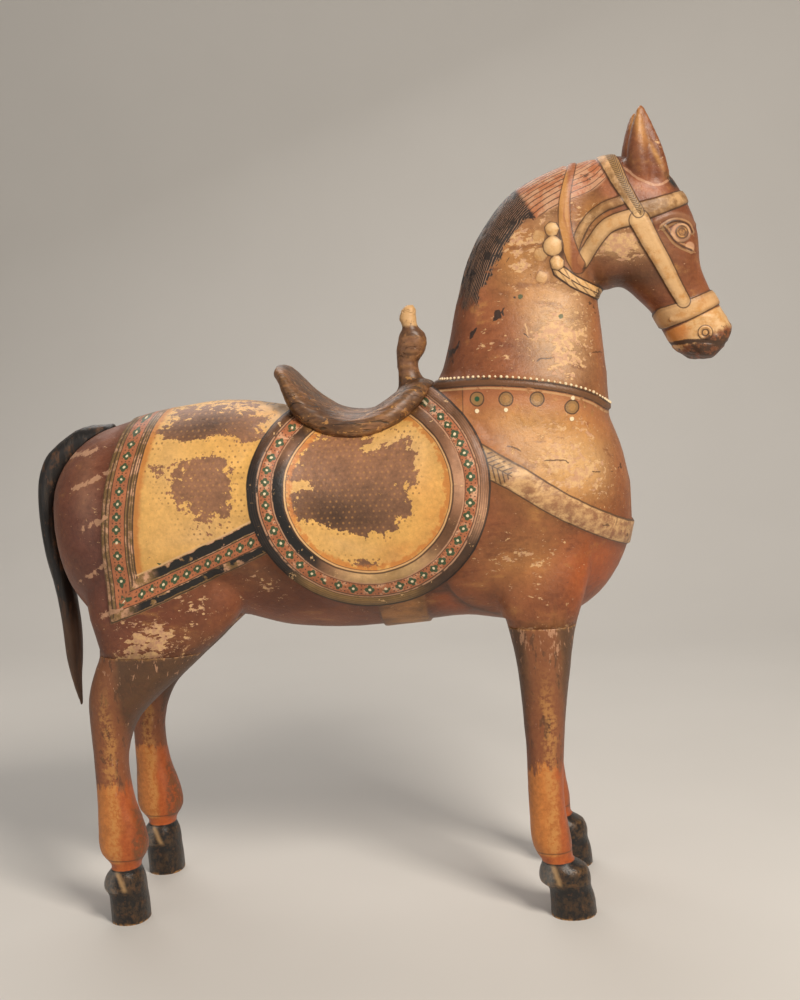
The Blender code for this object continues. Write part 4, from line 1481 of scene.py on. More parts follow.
@dataclass
class Mane(Ornament):
    """The mane carved in strands along the crest."""

    crest: Route = ((0.088, 0.690), (0.098, 0.712), (0.108, 0.746), (0.131, 0.822), (0.151, 0.860),
                    (0.187, 0.902), (0.235, 0.927), (0.270, 0.940))
    width: float = 0.030
    lock_width: float = 0.046
    raised: float = 0.0035
    strand: float = 0.0044
    leaves: tuple[Route, ...] = (((0.166, 0.768), (0.164, 0.760), (0.168, 0.751)),
                                 ((0.153, 0.7465), (0.160, 0.748), (0.171, 0.755)),
                                 ((0.127, 0.723), (0.130, 0.730), (0.136, 0.734)),
                                 ((0.102, 0.712), (0.110, 0.713), (0.116, 0.723)),
                                 ((0.100, 0.699), (0.112, 0.701)))
    greens: tuple[tuple[float, float], ...] = ((0.1955, 0.7755), (0.2440, 0.7485))

    def relief(self, spots: Spots) -> Array:
        """The mane's thickness and its strands."""
        away, run, _ = spots.along(self.crest)
        width = self.width + (self.lock_width - self.width) * ramp(run, 0.21, 0.25)
        whole = ramp(width - away, -0.003, 0.003) * ramp(spots.z, 0.72, 0.77) * ramp(spots.x, 0.262, 0.256)
        beside = away + np.abs(spots.y)
        lines = np.cos(2 * math.pi * (beside + 0.06 * run) / (self.strand * (1 + ramp(run, 0.21, 0.25))))
        return self.raised * 0.7 * whole + 0.00050 * lines * whole

    def marks(self, spots: Spots) -> dict[str, Array]:
        """The distance from the crest and along it, and from the leaves."""
        away, run, _ = spots.along(self.crest)
        return {"mane_away": away, "mane_run": run,
                "leaf": spots.across_of(self.leaves) + OUT_OF_REACH * (spots.y > 0)}

    def paint(self, coat: Coat) -> None:
        """Pale locks with dark lines above, and black strokes lower down."""
        brush = coat.brush
        away, run = brush.value("mane_away"), brush.value("mane_run")
        cloud = brush.noise(0.020, 6.0, shift=9.0, rough=0.7)
        shift = (cloud - 0.5) * 0.004
        high = away + brush.axis("Y").size() + run * 0.06
        lock = (((high + shift) * (math.pi / self.strand)).wave()).higher(
            ((run * 1.0 - away * 0.7 + shift) * 200).wave() - 0.25)
        upper = brush.within(run, 0.240, 0.36, 0.006)
        upper = upper * brush.rise(away, self.lock_width, self.lock_width - 0.004)
        coat.lay(upper * 0.85, brush.mix(brush.rise(cloud, 0.42, 0.58), Pigment.SALMON,
                                         Pigment.PINK_CREAM))
        coat.lay(upper * brush.rise(lock, 0.80, 0.94) * 0.85, Pigment.UMBER)
        reach = away + (cloud - 0.5) * 0.050 - brush.rise(run, 0.10, 0.20) * 0.006
        lower = brush.rise(run + (cloud - 0.5) * 0.10, 0.080, 0.105) * brush.rise(run, 0.252, 0.244)
        black = lower * brush.rise(reach, 0.032, 0.029)
        coat.lay(black * 0.96, Pigment.BLACK)
        pale = brush.rise(((high + shift * 0.3) * (2 * math.pi / 0.0036)).wave(), 0.72, 0.98)
        coat.lay(black * pale * brush.rise(cloud, 0.40, 0.50) * 0.8, Pigment.PINK_CREAM)
        leaf = brush.thin("leaf") + (cloud - 0.5) * 0.010
        coat.lay(brush.rise(leaf, 0.0026, 0.0018) * 0.9, Pigment.BLACK)
        for x, z in self.greens:
            coat.lay(brush.rise(brush.from_point(x, z) + (cloud - 0.5) * 0.01, 0.0034, 0.0022) * 0.8,
                     Pigment.GREEN)


@dataclass
class Face(Ornament):
    """The eyes, the nostrils and the mouth."""

    upper_lid: Route = ((0.3720, 0.8500), (0.3790, 0.8545), (0.3870, 0.8570), (0.3960, 0.8560),
                        (0.4040, 0.8520), (0.4085, 0.8440))
    lower_lid: Route = ((0.3745, 0.8490), (0.3800, 0.8415), (0.3860, 0.8330), (0.3950, 0.8265),
                        (0.4070, 0.8210))
    brow: Route = ((0.3640, 0.8570), (0.3760, 0.8625), (0.3900, 0.8650), (0.4030, 0.8610), (0.4120, 0.8530))
    eyeball: tuple[float, float, float, float] = (0.3945, 0.8425, 0.0125, 0.0115)
    ear_rim: Route = ((0.3300, 0.9255), (0.3405, 0.9145), (0.3540, 0.9060), (0.3700, 0.9020),
                      (0.3810, 0.9070))
    iris: tuple[float, float] = (0.3956, 0.8433)
    iris_radius: float = 0.0080
    nostril: tuple[float, float] = (0.4215, 0.7195)
    nostril_radius: float = 0.0068
    mouth: Route = ((0.3800, 0.7070), (0.4027, 0.7099), (0.4208, 0.7090), (0.4369, 0.7057),
                    (0.4560, 0.7040))

    def relief(self, spots: Spots) -> Array:
        """The eyeball between its lids, the brow, the rolled nostril and the slit of the mouth."""
        x, z, long, tall = self.eyeball
        outward = np.hypot((spots.x - x) / long, (spots.z - z) / tall)
        side = (np.abs(spots.y) > 0.018) & (spots.x > 0.35)
        ball = 0.0040 * np.sqrt(np.clip(1 - outward**2, 0, 1))
        away = np.hypot(spots.x - self.iris[0], spots.z - self.iris[1])
        ball += (0.0010 * np.exp(-((away - self.iris_radius) / 0.0016) ** 2)
                 - 0.0008 * np.exp(-(away / 0.003) ** 2))
        lids = 0.0024 * (np.exp(-(spots.along(self.upper_lid)[0] / 0.0026) ** 2)
                         + 0.7 * np.exp(-(spots.along(self.lower_lid)[0] / 0.0022) ** 2))
        lids += 0.0022 * np.exp(-(spots.along(self.brow)[0] / 0.0045) ** 2)
        away = np.hypot(spots.x - self.nostril[0], spots.z - self.nostril[1])
        nostril = (0.0024 * np.exp(-((away - self.nostril_radius) / 0.0022) ** 2)
                   - 0.0030 * np.exp(-(away / 0.0035) ** 2))
        slit = -0.0024 * np.exp(-(spots.along(self.mouth)[0] / 0.0020) ** 2)
        slit = slit * (spots.x > 0.378) * (spots.z < 0.73)
        lumps = 0.0022 * clouds(spots.places, 0.014, 41, 2)
        lumps = lumps * ramp(0.745 - spots.z, 0, 0.01) * (spots.x > 0.38)
        return (ball + lids) * side + nostril * (np.abs(spots.y) > 0.010) * (spots.x > 0.39) + slit + lumps

    def marks(self, spots: Spots) -> dict[str, Array]:
        """Distances to the lids and the mouth."""
        side = (np.abs(spots.y) > 0.015) & (spots.x > 0.345)
        ear = (np.abs(spots.y) > 0.012) & (spots.z > 0.885)
        lips = (spots.x > 0.375) & (spots.z < 0.735)
        lines = {"brow": np.where(side, spots.along(self.brow)[0], OUT_OF_REACH)}
        for name, where in (("upper_lid", side), ("lower_lid", side), ("ear_rim", ear), ("mouth", lips)):
            lines[name] = np.where(where, spots.across_of((getattr(self, name),)), OUT_OF_REACH)
        return lines

    def paint(self, coat: Coat) -> None:
        """The white of the eye, its rings and dark lids, the golden muzzle and the dark lip."""
        brush = coat.brush
        wear = brush.noise(0.012, 6.0, shift=5.5, rough=0.68)
        side = brush.rise(brush.axis("Y").size(), 0.014, 0.016)
        x, z, long, tall = self.eyeball
        ahead, up = (brush.axis("X") - x) / long, (brush.axis("Z") - z) / tall
        ball = brush.math("SQRT", ahead * ahead + up * up)
        coat.lay(brush.rise(brush.value("brow"), 0.0050, 0.0020) * 0.6, Pigment.ROSE)
        coat.lay(brush.rise(ball, 1.10, 0.95) * side * 0.85, Pigment.PINK_CREAM)
        corner = brush.from_point(0.4055, 0.8255)
        coat.lay(brush.rise(corner, 0.0070, 0.0050) * side * 0.8, Pigment.PINK_CREAM)
        iris = brush.from_point(*self.iris) + (wear - 0.5) * 0.0030
        coat.lay(brush.rise(iris, self.iris_radius, self.iris_radius - 0.001) * side * 0.85, brush.mix(
            brush.rise(wear, 0.40, 0.60), Pigment.BROWN, Pigment.GOLD))
        coat.lay(brush.line(iris, self.iris_radius - 0.0004, 0.0010, 0.0008) * side * 0.85,
                 Pigment.UMBER)
        coat.lay(brush.line(iris, 0.0042, 0.0005, 0.0008) * side * 0.6, Pigment.UMBER)
        for name, width in (("upper_lid", 0.0017), ("lower_lid", 0.0013)):
            away = brush.thin(name)
            coat.lay(brush.line(away, 0.0030, 0.0012) * 0.35, Pigment.CREAM)
            coat.lay(brush.rise(away + (wear - 0.5) * 0.002, width, width * 0.5) * 0.9, Pigment.UMBER)
        rim = brush.thin("ear_rim", (wear - 0.5) * 0.004)
        coat.lay(brush.rise(rim, 0.0020, 0.0010) * 0.65, Pigment.PINK_CREAM)
        low = brush.axis("Z") - (brush.axis("X") - 0.40) * 0.42
        muzzle = brush.rise(low + (wear - 0.5) * 0.004, 0.7345, 0.7325)
        muzzle = muzzle * brush.rise(brush.axis("X"), 0.372, 0.378)
        golden = brush.mix(brush.rise(wear, 0.34, 0.60), Pigment.GOLD, Pigment.CREAM)
        coat.lay(muzzle * brush.rise(low + (wear - 0.5) * 0.030, 0.700, 0.712) * 0.9, golden)
        coat.lay(muzzle * brush.rise(brush.from_point(0.388, 0.722), 0.020, 0.006) * 0.8,
                 Pigment.ORANGE)
        coat.lay(muzzle * brush.flakes(brush.rise(low, 0.722, 0.694) * 0.56, 0.008) * 0.92,
                 Pigment.UMBER)
        nostril = brush.from_point(*self.nostril)
        coat.lay(brush.line(nostril, self.nostril_radius + 0.0022, 0.0006) * 0.8, Pigment.UMBER)
        coat.lay(brush.line(nostril, self.nostril_radius - 0.0030, 0.0008) * 0.9, Pigment.UMBER)
        coat.lay(brush.rise(brush.thin("mouth") + (wear - 0.5) * 0.006, 0.0034, 0.0018),
                 Pigment.UMBER)


# The pieces of the object


@dataclass
class CarvedHorse:
    """The carved figure, in one skin and then parted at the joints of its four legs."""

    trunk: tuple[Station, ...] = (
        (-0.425, 0.500, -0.425, 0.545, 0.020),
        (-0.418, 0.460, -0.418, 0.577, 0.062),
        (-0.400, 0.412, -0.400, 0.604, 0.092),
        (-0.368, 0.378, -0.368, 0.628, 0.114),
        (-0.320, 0.366, -0.320, 0.643, 0.127),
        (-0.260, 0.374, -0.260, 0.655, 0.132),
        (-0.190, 0.383, -0.190, 0.661, 0.131),
        (-0.120, 0.366, -0.120, 0.652, 0.129),
        (-0.040, 0.361, -0.040, 0.630, 0.130),
        (0.040, 0.366, 0.040, 0.638, 0.134),
        (0.110, 0.371, 0.110, 0.675, 0.137),
        (0.170, 0.363, 0.170, 0.690, 0.134),
        (0.230, 0.364, 0.230, 0.690, 0.118),
        (0.280, 0.394, 0.280, 0.660, 0.088),
        (0.312, 0.440, 0.312, 0.590, 0.050),
        (0.3245, 0.482, 0.3245, 0.536, 0.018),
    )
    neck: tuple[Station, ...] = (
        (0.250, 0.520, 0.000, 0.590, 0.118),
        (0.296, 0.600, 0.060, 0.645, 0.112),
        (0.3005, 0.665, 0.088, 0.683, 0.097),
        (0.2985, 0.690, 0.098, 0.712, 0.084),
        (0.296, 0.725, 0.108, 0.746, 0.071),
        (0.294, 0.750, 0.119, 0.784, 0.062),
        (0.292, 0.768, 0.131, 0.822, 0.056),
        (0.296, 0.790, 0.151, 0.860, 0.052),
        (0.310, 0.812, 0.187, 0.902, 0.049),
        (0.325, 0.840, 0.235, 0.927, 0.047),
        (0.345, 0.870, 0.290, 0.943, 0.043),
    )
    head: tuple[Station, ...] = (
        (0.262, 0.830, 0.275, 0.932, 0.036),
        (0.275, 0.797, 0.300, 0.943, 0.050),
        (0.297, 0.779, 0.335, 0.943, 0.057),
        (0.322, 0.782, 0.378, 0.926, 0.058),
        (0.345, 0.763, 0.403, 0.890, 0.054),
        (0.362, 0.743, 0.4185, 0.848, 0.046),
        (0.371, 0.725, 0.4210, 0.806, 0.039),
        (0.381, 0.707, 0.4305, 0.777, 0.035),
        (0.3955, 0.693, 0.4440, 0.752, 0.034),
        (0.414, 0.687, 0.4545, 0.733, 0.032),
        (0.430, 0.687, 0.4575, 0.721, 0.027),
        (0.439, 0.692, 0.4540, 0.712, 0.015),
    )
    ear: tuple[Station, ...] = (
        (0.342, 0.888, 0.380, 0.880, 0.014),
        (0.3345, 0.917, 0.385, 0.912, 0.018),
        (0.3330, 0.942, 0.3805, 0.938, 0.019),
        (0.3365, 0.964, 0.3725, 0.961, 0.0165),
        (0.3425, 0.985, 0.3630, 0.983, 0.012),
        (0.3490, 1.0012, 0.3555, 1.0000, 0.005),
    )
    foreleg: tuple[Station, ...] = (
        (0.140, 0.475, 0.275, 0.475, 0.034),
        (0.146, 0.435, 0.268, 0.435, 0.040),
        (0.152, 0.405, 0.260, 0.405, 0.042),
        (0.161, 0.375, 0.250, 0.375, 0.040),
        (0.168, 0.345, 0.243, 0.345, 0.037),
        (0.173, 0.310, 0.238, 0.310, 0.034),
        (0.177, 0.260, 0.231, 0.260, 0.030),
        (0.1795, 0.210, 0.2265, 0.210, 0.027),
        (0.179, 0.160, 0.224, 0.160, 0.0255),
        (0.180, 0.125, 0.2265, 0.125, 0.026),
        (0.181, 0.097, 0.231, 0.097, 0.0265),
        (0.187, 0.080, 0.2315, 0.080, 0.0245),
        (0.194, 0.069, 0.2335, 0.069, 0.0235),
        (0.190, 0.060, 0.2490, 0.060, 0.0280),
        (0.189, 0.044, 0.2540, 0.044, 0.0310),
        (0.200, 0.036, 0.2530, 0.036, 0.0285),
        (0.2015, 0.018, 0.2580, 0.018, 0.0305),
        (0.2015, -0.012, 0.2600, -0.012, 0.0315),
    )
    hindleg: tuple[Station, ...] = (
        (-0.380, 0.500, -0.190, 0.500, 0.036),
        (-0.380, 0.455, -0.170, 0.455, 0.043),
        (-0.376, 0.420, -0.166, 0.420, 0.046),
        (-0.371, 0.392, -0.178, 0.392, 0.047),
        (-0.364, 0.370, -0.199, 0.370, 0.046),
        (-0.360, 0.350, -0.222, 0.350, 0.045),
        (-0.367, 0.330, -0.243, 0.330, 0.043),
        (-0.374, 0.309, -0.268, 0.309, 0.040),
        (-0.378, 0.290, -0.290, 0.290, 0.038),
        (-0.378, 0.268, -0.312, 0.268, 0.033),
        (-0.377, 0.240, -0.3265, 0.240, 0.028),
        (-0.3765, 0.205, -0.3335, 0.205, 0.025),
        (-0.3765, 0.160, -0.3290, 0.160, 0.025),
        (-0.3775, 0.130, -0.3200, 0.130, 0.027),
        (-0.3785, 0.103, -0.3145, 0.103, 0.028),
        (-0.3755, 0.089, -0.3165, 0.089, 0.027),
        (-0.3650, 0.077, -0.3245, 0.077, 0.024),
        (-0.3640, 0.069, -0.3270, 0.069, 0.0235),
        (-0.3720, 0.060, -0.3230, 0.060, 0.0275),
        (-0.3760, 0.046, -0.3210, 0.046, 0.0300),
        (-0.3700, 0.036, -0.3205, 0.036, 0.0285),
        (-0.3690, 0.018, -0.3190, 0.018, 0.0300),
        (-0.3680, -0.012, -0.3190, -0.012, 0.0310),
    )
    stains: tuple[Stain, ...] = (
        (-0.360, 0.510, 0.045, 0.110, 3, 0.75, Pigment.PLUM),
        # A pink sheen on the rear of the rump: a painted highlight.
        (-0.359, 0.560, 0.015, 0.045, 3, 0.35, Pigment.PINK_CREAM),
        (-0.300, 0.425, 0.050, 0.030, -20, 0.5, Pigment.PLUM),
        # Deep red on the haunch, the thigh and the belly: partly the paint's own colour and partly painted
        # shade.
        (-0.269, 0.396, 0.074, 0.037, -17, 0.6, Pigment.DEEP_RED),
        (-0.337, 0.299, 0.037, 0.074, 3, 0.8, Pigment.DEEP_RED),
        (-0.094, 0.417, 0.099, 0.020, 3, 0.75, Pigment.DEEP_RED),
        (0.090, 0.405, 0.030, 0.017, 3, 0.6, Pigment.ORANGE_RED),
        (-0.147, 0.449, 0.050, 0.022, -17, 0.55, Pigment.BROWN),
        (-0.225, 0.355, 0.050, 0.022, -27, 0.6, Pigment.BROWN),
        (0.163, 0.438, 0.047, 0.045, 3, 0.75, Pigment.TERRACOTTA),
        (0.182, 0.456, 0.050, 0.032, 3, 0.45, Pigment.GOLD),
        # Gold and cream on the breast: a painted highlight.
        (0.235, 0.563, 0.064, 0.047, -22, 0.85, Pigment.GOLD),
        (0.254, 0.574, 0.050, 0.032, -17, 0.7, Pigment.CREAM),
        (0.273, 0.425, 0.042, 0.050, 3, 0.85, Pigment.ORANGE_RED),
        (0.310, 0.554, 0.015, 0.074, 3, 0.75, Pigment.TERRACOTTA),
        (0.213, 0.625, 0.093, 0.027, -2, 0.8, Pigment.GOLD),
        (0.242, 0.732, 0.042, 0.064, 3, 0.85, Pigment.CREAM),
        (0.169, 0.736, 0.030, 0.062, 13, 0.55, Pigment.TERRACOTTA),
        (0.290, 0.730, 0.012, 0.056, 3, 0.7, Pigment.TERRACOTTA),
        (0.197, 0.827, 0.037, 0.050, 3, 0.6, Pigment.GOLD),
        (0.206, 0.888, 0.037, 0.017, 33, 0.7, Pigment.PINK_CREAM),
        (0.231, 0.892, 0.017, 0.042, 3, 0.55, Pigment.CREAM),
        (0.279, 0.871, 0.027, 0.027, 3, 0.55, Pigment.GOLD),
        # Cream on the cheek below the throat strap: a painted highlight.
        (0.320, 0.832, 0.040, 0.017, -12, 0.85, Pigment.CREAM),
        (0.286, 0.911, 0.022, 0.020, 3, 0.75, Pigment.BROWN),
        # Umber along the lower edge of the jaw: painted shade under the head.
        (0.325, 0.791, 0.052, 0.010, 3, 0.85, Pigment.UMBER),
        (0.361, 0.793, 0.032, 0.020, -27, 0.6, Pigment.BROWN),
        (0.418, 0.745, 0.020, 0.015, -7, 0.85, Pigment.GOLD),
        (0.415, 0.711, 0.022, 0.011, -7, 0.5, Pigment.BROWN),
        (0.208, 0.357, 0.037, 0.015, 3, 0.5, Pigment.GOLD),
        (0.361, 0.936, 0.014, 0.030, -75, 0.7, Pigment.DEEP_RED),
        # Gold along the ridge of the ear: partly paint and partly a painted highlight.
        (0.349, 0.975, 0.025, 0.006, -80, 0.7, Pigment.GOLD),
        (0.3675, 0.939, 0.020, 0.003, -65, 0.8, Pigment.GOLD),
        (0.304, 0.905, 0.022, 0.008, -55, 0.8, Pigment.SALMON),
        (0.355, 0.900, 0.022, 0.010, -20, 0.6, Pigment.SALMON),
        (0.387, 0.907, 0.012, 0.0045, -50, 1.3, Pigment.BLACK),
        (0.116, 0.460, 0.025, 0.037, 3, 0.4, Pigment.TERRACOTTA),
        (0.141, 0.616, 0.025, 0.025, 3, 0.5, Pigment.TERRACOTTA),
    )
    gesso: tuple[Patch, ...] = (
        (0.242, 0.726, 0.047, 0.074, 3, 0.62), (0.197, 0.833, 0.040, 0.062, 3, 0.5),
        (0.162, 0.712, 0.037, 0.037, 3, 0.35), (0.224, 0.893, 0.035, 0.032, 23, 0.6),
        (0.279, 0.871, 0.030, 0.032, 3, 0.45), (0.320, 0.832, 0.045, 0.020, -12, 0.75),
        (0.237, 0.611, 0.074, 0.050, 3, 0.45), (0.253, 0.562, 0.062, 0.045, -17, 0.6),
        (0.283, 0.546, 0.022, 0.045, 3, 0.5), (-0.270, 0.373, 0.074, 0.030, -12, 0.6),
        (-0.310, 0.352, 0.042, 0.012, 3, 0.7), (-0.243, 0.422, 0.074, 0.030, -17, 0.46),
        (-0.148, 0.442, 0.056, 0.020, -17, 0.46), (-0.345, 0.551, 0.020, 0.074, 3, 0.34),
        (0.164, 0.464, 0.042, 0.032, 3, 0.46), (0.212, 0.454, 0.042, 0.037, 3, 0.42),
        (0.415, 0.735, 0.027, 0.027, 3, 0.4), (0.209, 0.372, 0.045, 0.010, 3, 0.62),
        (0.193, 0.418, 0.037, 0.020, 3, 0.42), (0.373, 0.944, 0.012, 0.032, 3, 0.4),
    )
    bare: tuple[Patch, ...] = (
        (0.281, 0.761, 0.017, 0.017, 3, 0.45), (0.313, 0.472, 0.011, 0.015, 3, 0.6),
        (0.292, 0.767, 0.010, 0.037, 3, 0.45), (0.403, 0.705, 0.020, 0.010, -7, 0.45),
        (0.312, 0.553, 0.009, 0.020, 3, 0.45), (-0.139, 0.526, 0.007, 0.017, 3, 0.2),
        (0.286, 0.907, 0.025, 0.020, 3, 0.42), (-0.212, 0.637, 0.057, 0.025, 3, 0.3),
    )
    field_bare: tuple[Patch, ...] = (
        (-0.030, 0.555, 0.080, 0.072, -4, 1.3), (0.030, 0.562, 0.052, 0.055, 0, 1.15),
        (0.015, 0.520, 0.050, 0.030, -10, 1.05), (-0.012, 0.4645, 0.038, 0.010, -10, 1.05),
        (-0.200, 0.562, 0.042, 0.058, 8, 0.95), (-0.212, 0.634, 0.062, 0.020, 10, 1.1),
        (-0.160, 0.632, 0.040, 0.024, -5, 0.9), (-0.262, 0.590, 0.018, 0.045, 5, 0.70),
        (-0.205, 0.655, 0.100, 0.012, 3, 0.65),
    )
    field_kept: tuple[Patch, ...] = (
        (-0.078, 0.556, 0.024, 0.009, 8, 0.75), (0.036, 0.555, 0.042, 0.006, 6, 0.62),
        (-0.028, 0.485, 0.060, 0.009, -20, 1.0), (0.088, 0.555, 0.022, 0.080, -6, 1.0),
        (0.008, 0.600, 0.032, 0.006, 35, 0.65), (0.045, 0.535, 0.016, 0.008, 0, 0.5),
        (0.060, 0.478, 0.040, 0.026, 30, 0.9), (-0.225, 0.612, 0.040, 0.010, 10, 0.6),
    )
    field_stains: tuple[Stain, ...] = (
        (0.020, 0.600, 0.060, 0.020, 3, 0.6, Pigment.CREAM),
        (-0.075, 0.556, 0.030, 0.020, 3, 0.6, Pigment.CREAM),
        (0.060, 0.575, 0.020, 0.030, 3, 0.5, Pigment.CREAM),
        (0.080, 0.520, 0.020, 0.050, 3, 0.5, Pigment.ORANGE),
        (0.035, 0.472, 0.030, 0.012, 20, 0.6, Pigment.ORANGE),
        (-0.030, 0.483, 0.060, 0.012, -15, 0.5, Pigment.CREAM),
        (-0.150, 0.640, 0.040, 0.030, 3, 0.7, Pigment.GOLD),
        (-0.250, 0.585, 0.030, 0.055, 3, 0.5, Pigment.CREAM),
        (-0.215, 0.505, 0.060, 0.020, 12, 0.6, Pigment.CREAM),
    )
    field_worn: tuple[Stain, ...] = (
        (-0.022, 0.516, 0.085, 0.032, 2, 1.0, Pigment.UMBER),
        (-0.060, 0.535, 0.030, 0.022, 3, 0.6, Pigment.UMBER),
        (-0.014, 0.467, 0.040, 0.012, -8, 0.7, Pigment.BROWN),
        (0.045, 0.520, 0.018, 0.022, 0, 0.5, Pigment.ROSE),
        (-0.212, 0.634, 0.060, 0.018, 10, 0.85, Pigment.UMBER),
        (-0.262, 0.590, 0.020, 0.040, 3, 0.4, Pigment.ROSE),
    )
    thin_lines: tuple[str, ...] = ("sprig", "scratch", "crack", "seam", "breast_mark", "leaf", "upper_lid",
                                   "lower_lid", "ear_rim", "mouth")
    leg_out: float = 0.092
    leg_lean: float = 0.014
    leg_inner_side: float = 0.042
    leg_room: float = 0.025
    foreleg_joint: float = 0.370
    hindleg_joint: float = 0.350
    ear_out: float = 0.036
    ear_far_back: float = 0.004
    ear_turn: float = 70.0
    voxel: float = 0.004
    fit_gap: float = 0.0003
    body_triangles: int = 190000
    girth: tuple[float, float] = (0.003, 0.0625)
    girth_raised: float = 0.0035
    girth_top: float = 0.43
    lobe_middle: tuple[float, float] = (0.165, 0.458)
    lobe_radius: float = 0.080
    lobe_raised: float = 0.003
    lobe_foot: float = 0.372
    chisel: tuple[tuple[float, float, int, int], ...] = ((0.00035, 0.035, 11, 2), (0.00012, 0.009, 12, 1))
    ornaments: list[Ornament] = field(default_factory=lambda: [
        RumpCloth(), BreastStrap(), NeckBand(), SaddleCloth(), AgeMarks(), Mane(), Bridle(), Face()])

    def skin(self) -> bpy.types.Object:
        """The whole figure in one smooth skin, with no carving on it yet."""
        lofts = Lofts()
        lofts.add(self.trunk, squareness=2.15, sides=48)
        lofts.add(self.neck, squareness=2.3)
        lofts.add(self.head, squareness=2.3)
        for side in Side:
            turn = side.value
            back = self.ear_far_back if side is Side.FAR else 0.0
            ear = tuple((low_x - back, low_z, high_x - back, high_z, half)
                        for low_x, low_z, high_x, high_z, half in self.ear)
            lofts.add(ear, turn * self.ear_out, 2.0, 24, 0.55, math.radians(90 - turn * self.ear_turn))
            lofts.add(self.foreleg, turn * self.leg_out, 2.2, 28, lean=turn * self.leg_lean)
            lofts.add(self.hindleg, turn * self.leg_out, 2.2, 28, lean=turn * self.leg_lean)
        horse = object_from("horse", lofts.mesh)
        fuse(horse, self.voxel)
        spots = Spots(places_of(horse.data))
        firm = (spots.z < 0.10) | ((spots.x > 0.31) & (spots.z > 0.67))
        relax(horse.data, 14, np.where(firm, 0.35, 1.0))
        refine(horse)
        spots = Spots(places_of(horse.data))
        refine_where(horse, (spots.x > 0.300) & (spots.z > 0.685))
        return horse

    def carve(self, horse: bpy.types.Object) -> None:
        """Raises the ornaments on the skin and leaves the marks of the chisel.

        Args:
            horse: The smooth skin.
        """
        places = places_of(horse.data)
        spots = Spots(places)
        height = np.zeros(len(places))
        for ornament in self.ornaments:
            relief = ornament.relief(spots)
            if isinstance(ornament, Face):
                height = height + relief
            else:
                height = np.maximum(height, relief) + np.minimum(relief, 0)
        low, high = self.girth
        girth = (ramp(spots.x, low - 0.002, low + 0.002)
                 - ramp(spots.x, high - 0.002, high + 0.002)) * (spots.z < self.girth_top)
        height = np.maximum(height, self.girth_raised * girth)
        away = np.hypot(spots.x - self.lobe_middle[0], spots.z - self.lobe_middle[1])
        lobe = ramp(self.lobe_radius - away, 0, 0.004) * ramp(away, 0.015, 0.06)
        lobe = self.lobe_raised * lobe * ramp(0.20 - spots.x, 0, 0.03) * ramp(0.470 - spots.z, 0, 0.05)
        height += lobe * (spots.z > self.lobe_foot)
        height += sum(depth * clouds(places, size, seed, octaves)
                      for depth, size, seed, octaves in self.chisel)
        move_to(horse.data, places + normals_of(horse.data) * height[:, None])

    def box(self, name: str, stations: tuple[Station, ...], joint: float, side: Side,
            gap: float) -> bpy.types.Object:
        """The block of space that holds one leg.

        Args:
            name: Its name.
            stations: The leg's sections.
            joint: The height of the leg's joint.
            side: Which flank.
            gap: How much smaller the block is on each face.

        Returns:
            The block.
        """
        below = [station for station in stations if station[1] <= joint]
        inner = side.value * (self.leg_inner_side + gap)
        outer = side.value * 0.3
        low = (min(station[0] for station in below) - self.leg_room + gap, min(inner, outer),
               0.0 if gap else -0.1)
        high = (max(station[2] for station in below) + self.leg_room - gap, max(inner, outer), joint - gap)
        mesh = bmesh.new()
        bmesh.ops.create_cube(mesh, size=1.0)
        for vertex in mesh.verts:
            vertex.co = [high[axis] if vertex.co[axis] > 0 else low[axis] for axis in range(3)]
        return object_from(name, mesh)

    def build(self) -> dict[str, bpy.types.Object]:
        """Carves the figure and parts it.

        Returns:
            The body and the four legs by the names of their nodes.
        """
        horse = self.skin()
        self.carve(horse)
        body = copy_of(horse, "carved_body")
        pieces = {"body": body}
        for kind, stations, joint in (("foreleg", self.foreleg, self.foreleg_joint),
                                      ("hindleg", self.hindleg, self.hindleg_joint)):
            for side in Side:
                node = f"{kind}_{side.name.lower()}"
                socket = self.box(f"{node}_socket", stations, joint, side, 0.0)
                block = self.box(f"{node}_block", stations, joint, side, self.fit_gap)
                cut(body, "DIFFERENCE", socket)
                leg = copy_of(horse, f"carved_{node}")
                cut(leg, "INTERSECT", block)
                for cutter in (socket, block):
                    bpy.data.objects.remove(cutter)
                pieces[node] = leg
        bpy.data.objects.remove(horse)
        largest_body(body)
        spots = Spots(places_of(body.data))
        face = (spots.x > 0.29) & (spots.z > 0.69)
        thin_out(body, self.body_triangles, np.where(face, 0.5, 1.0))
        return pieces

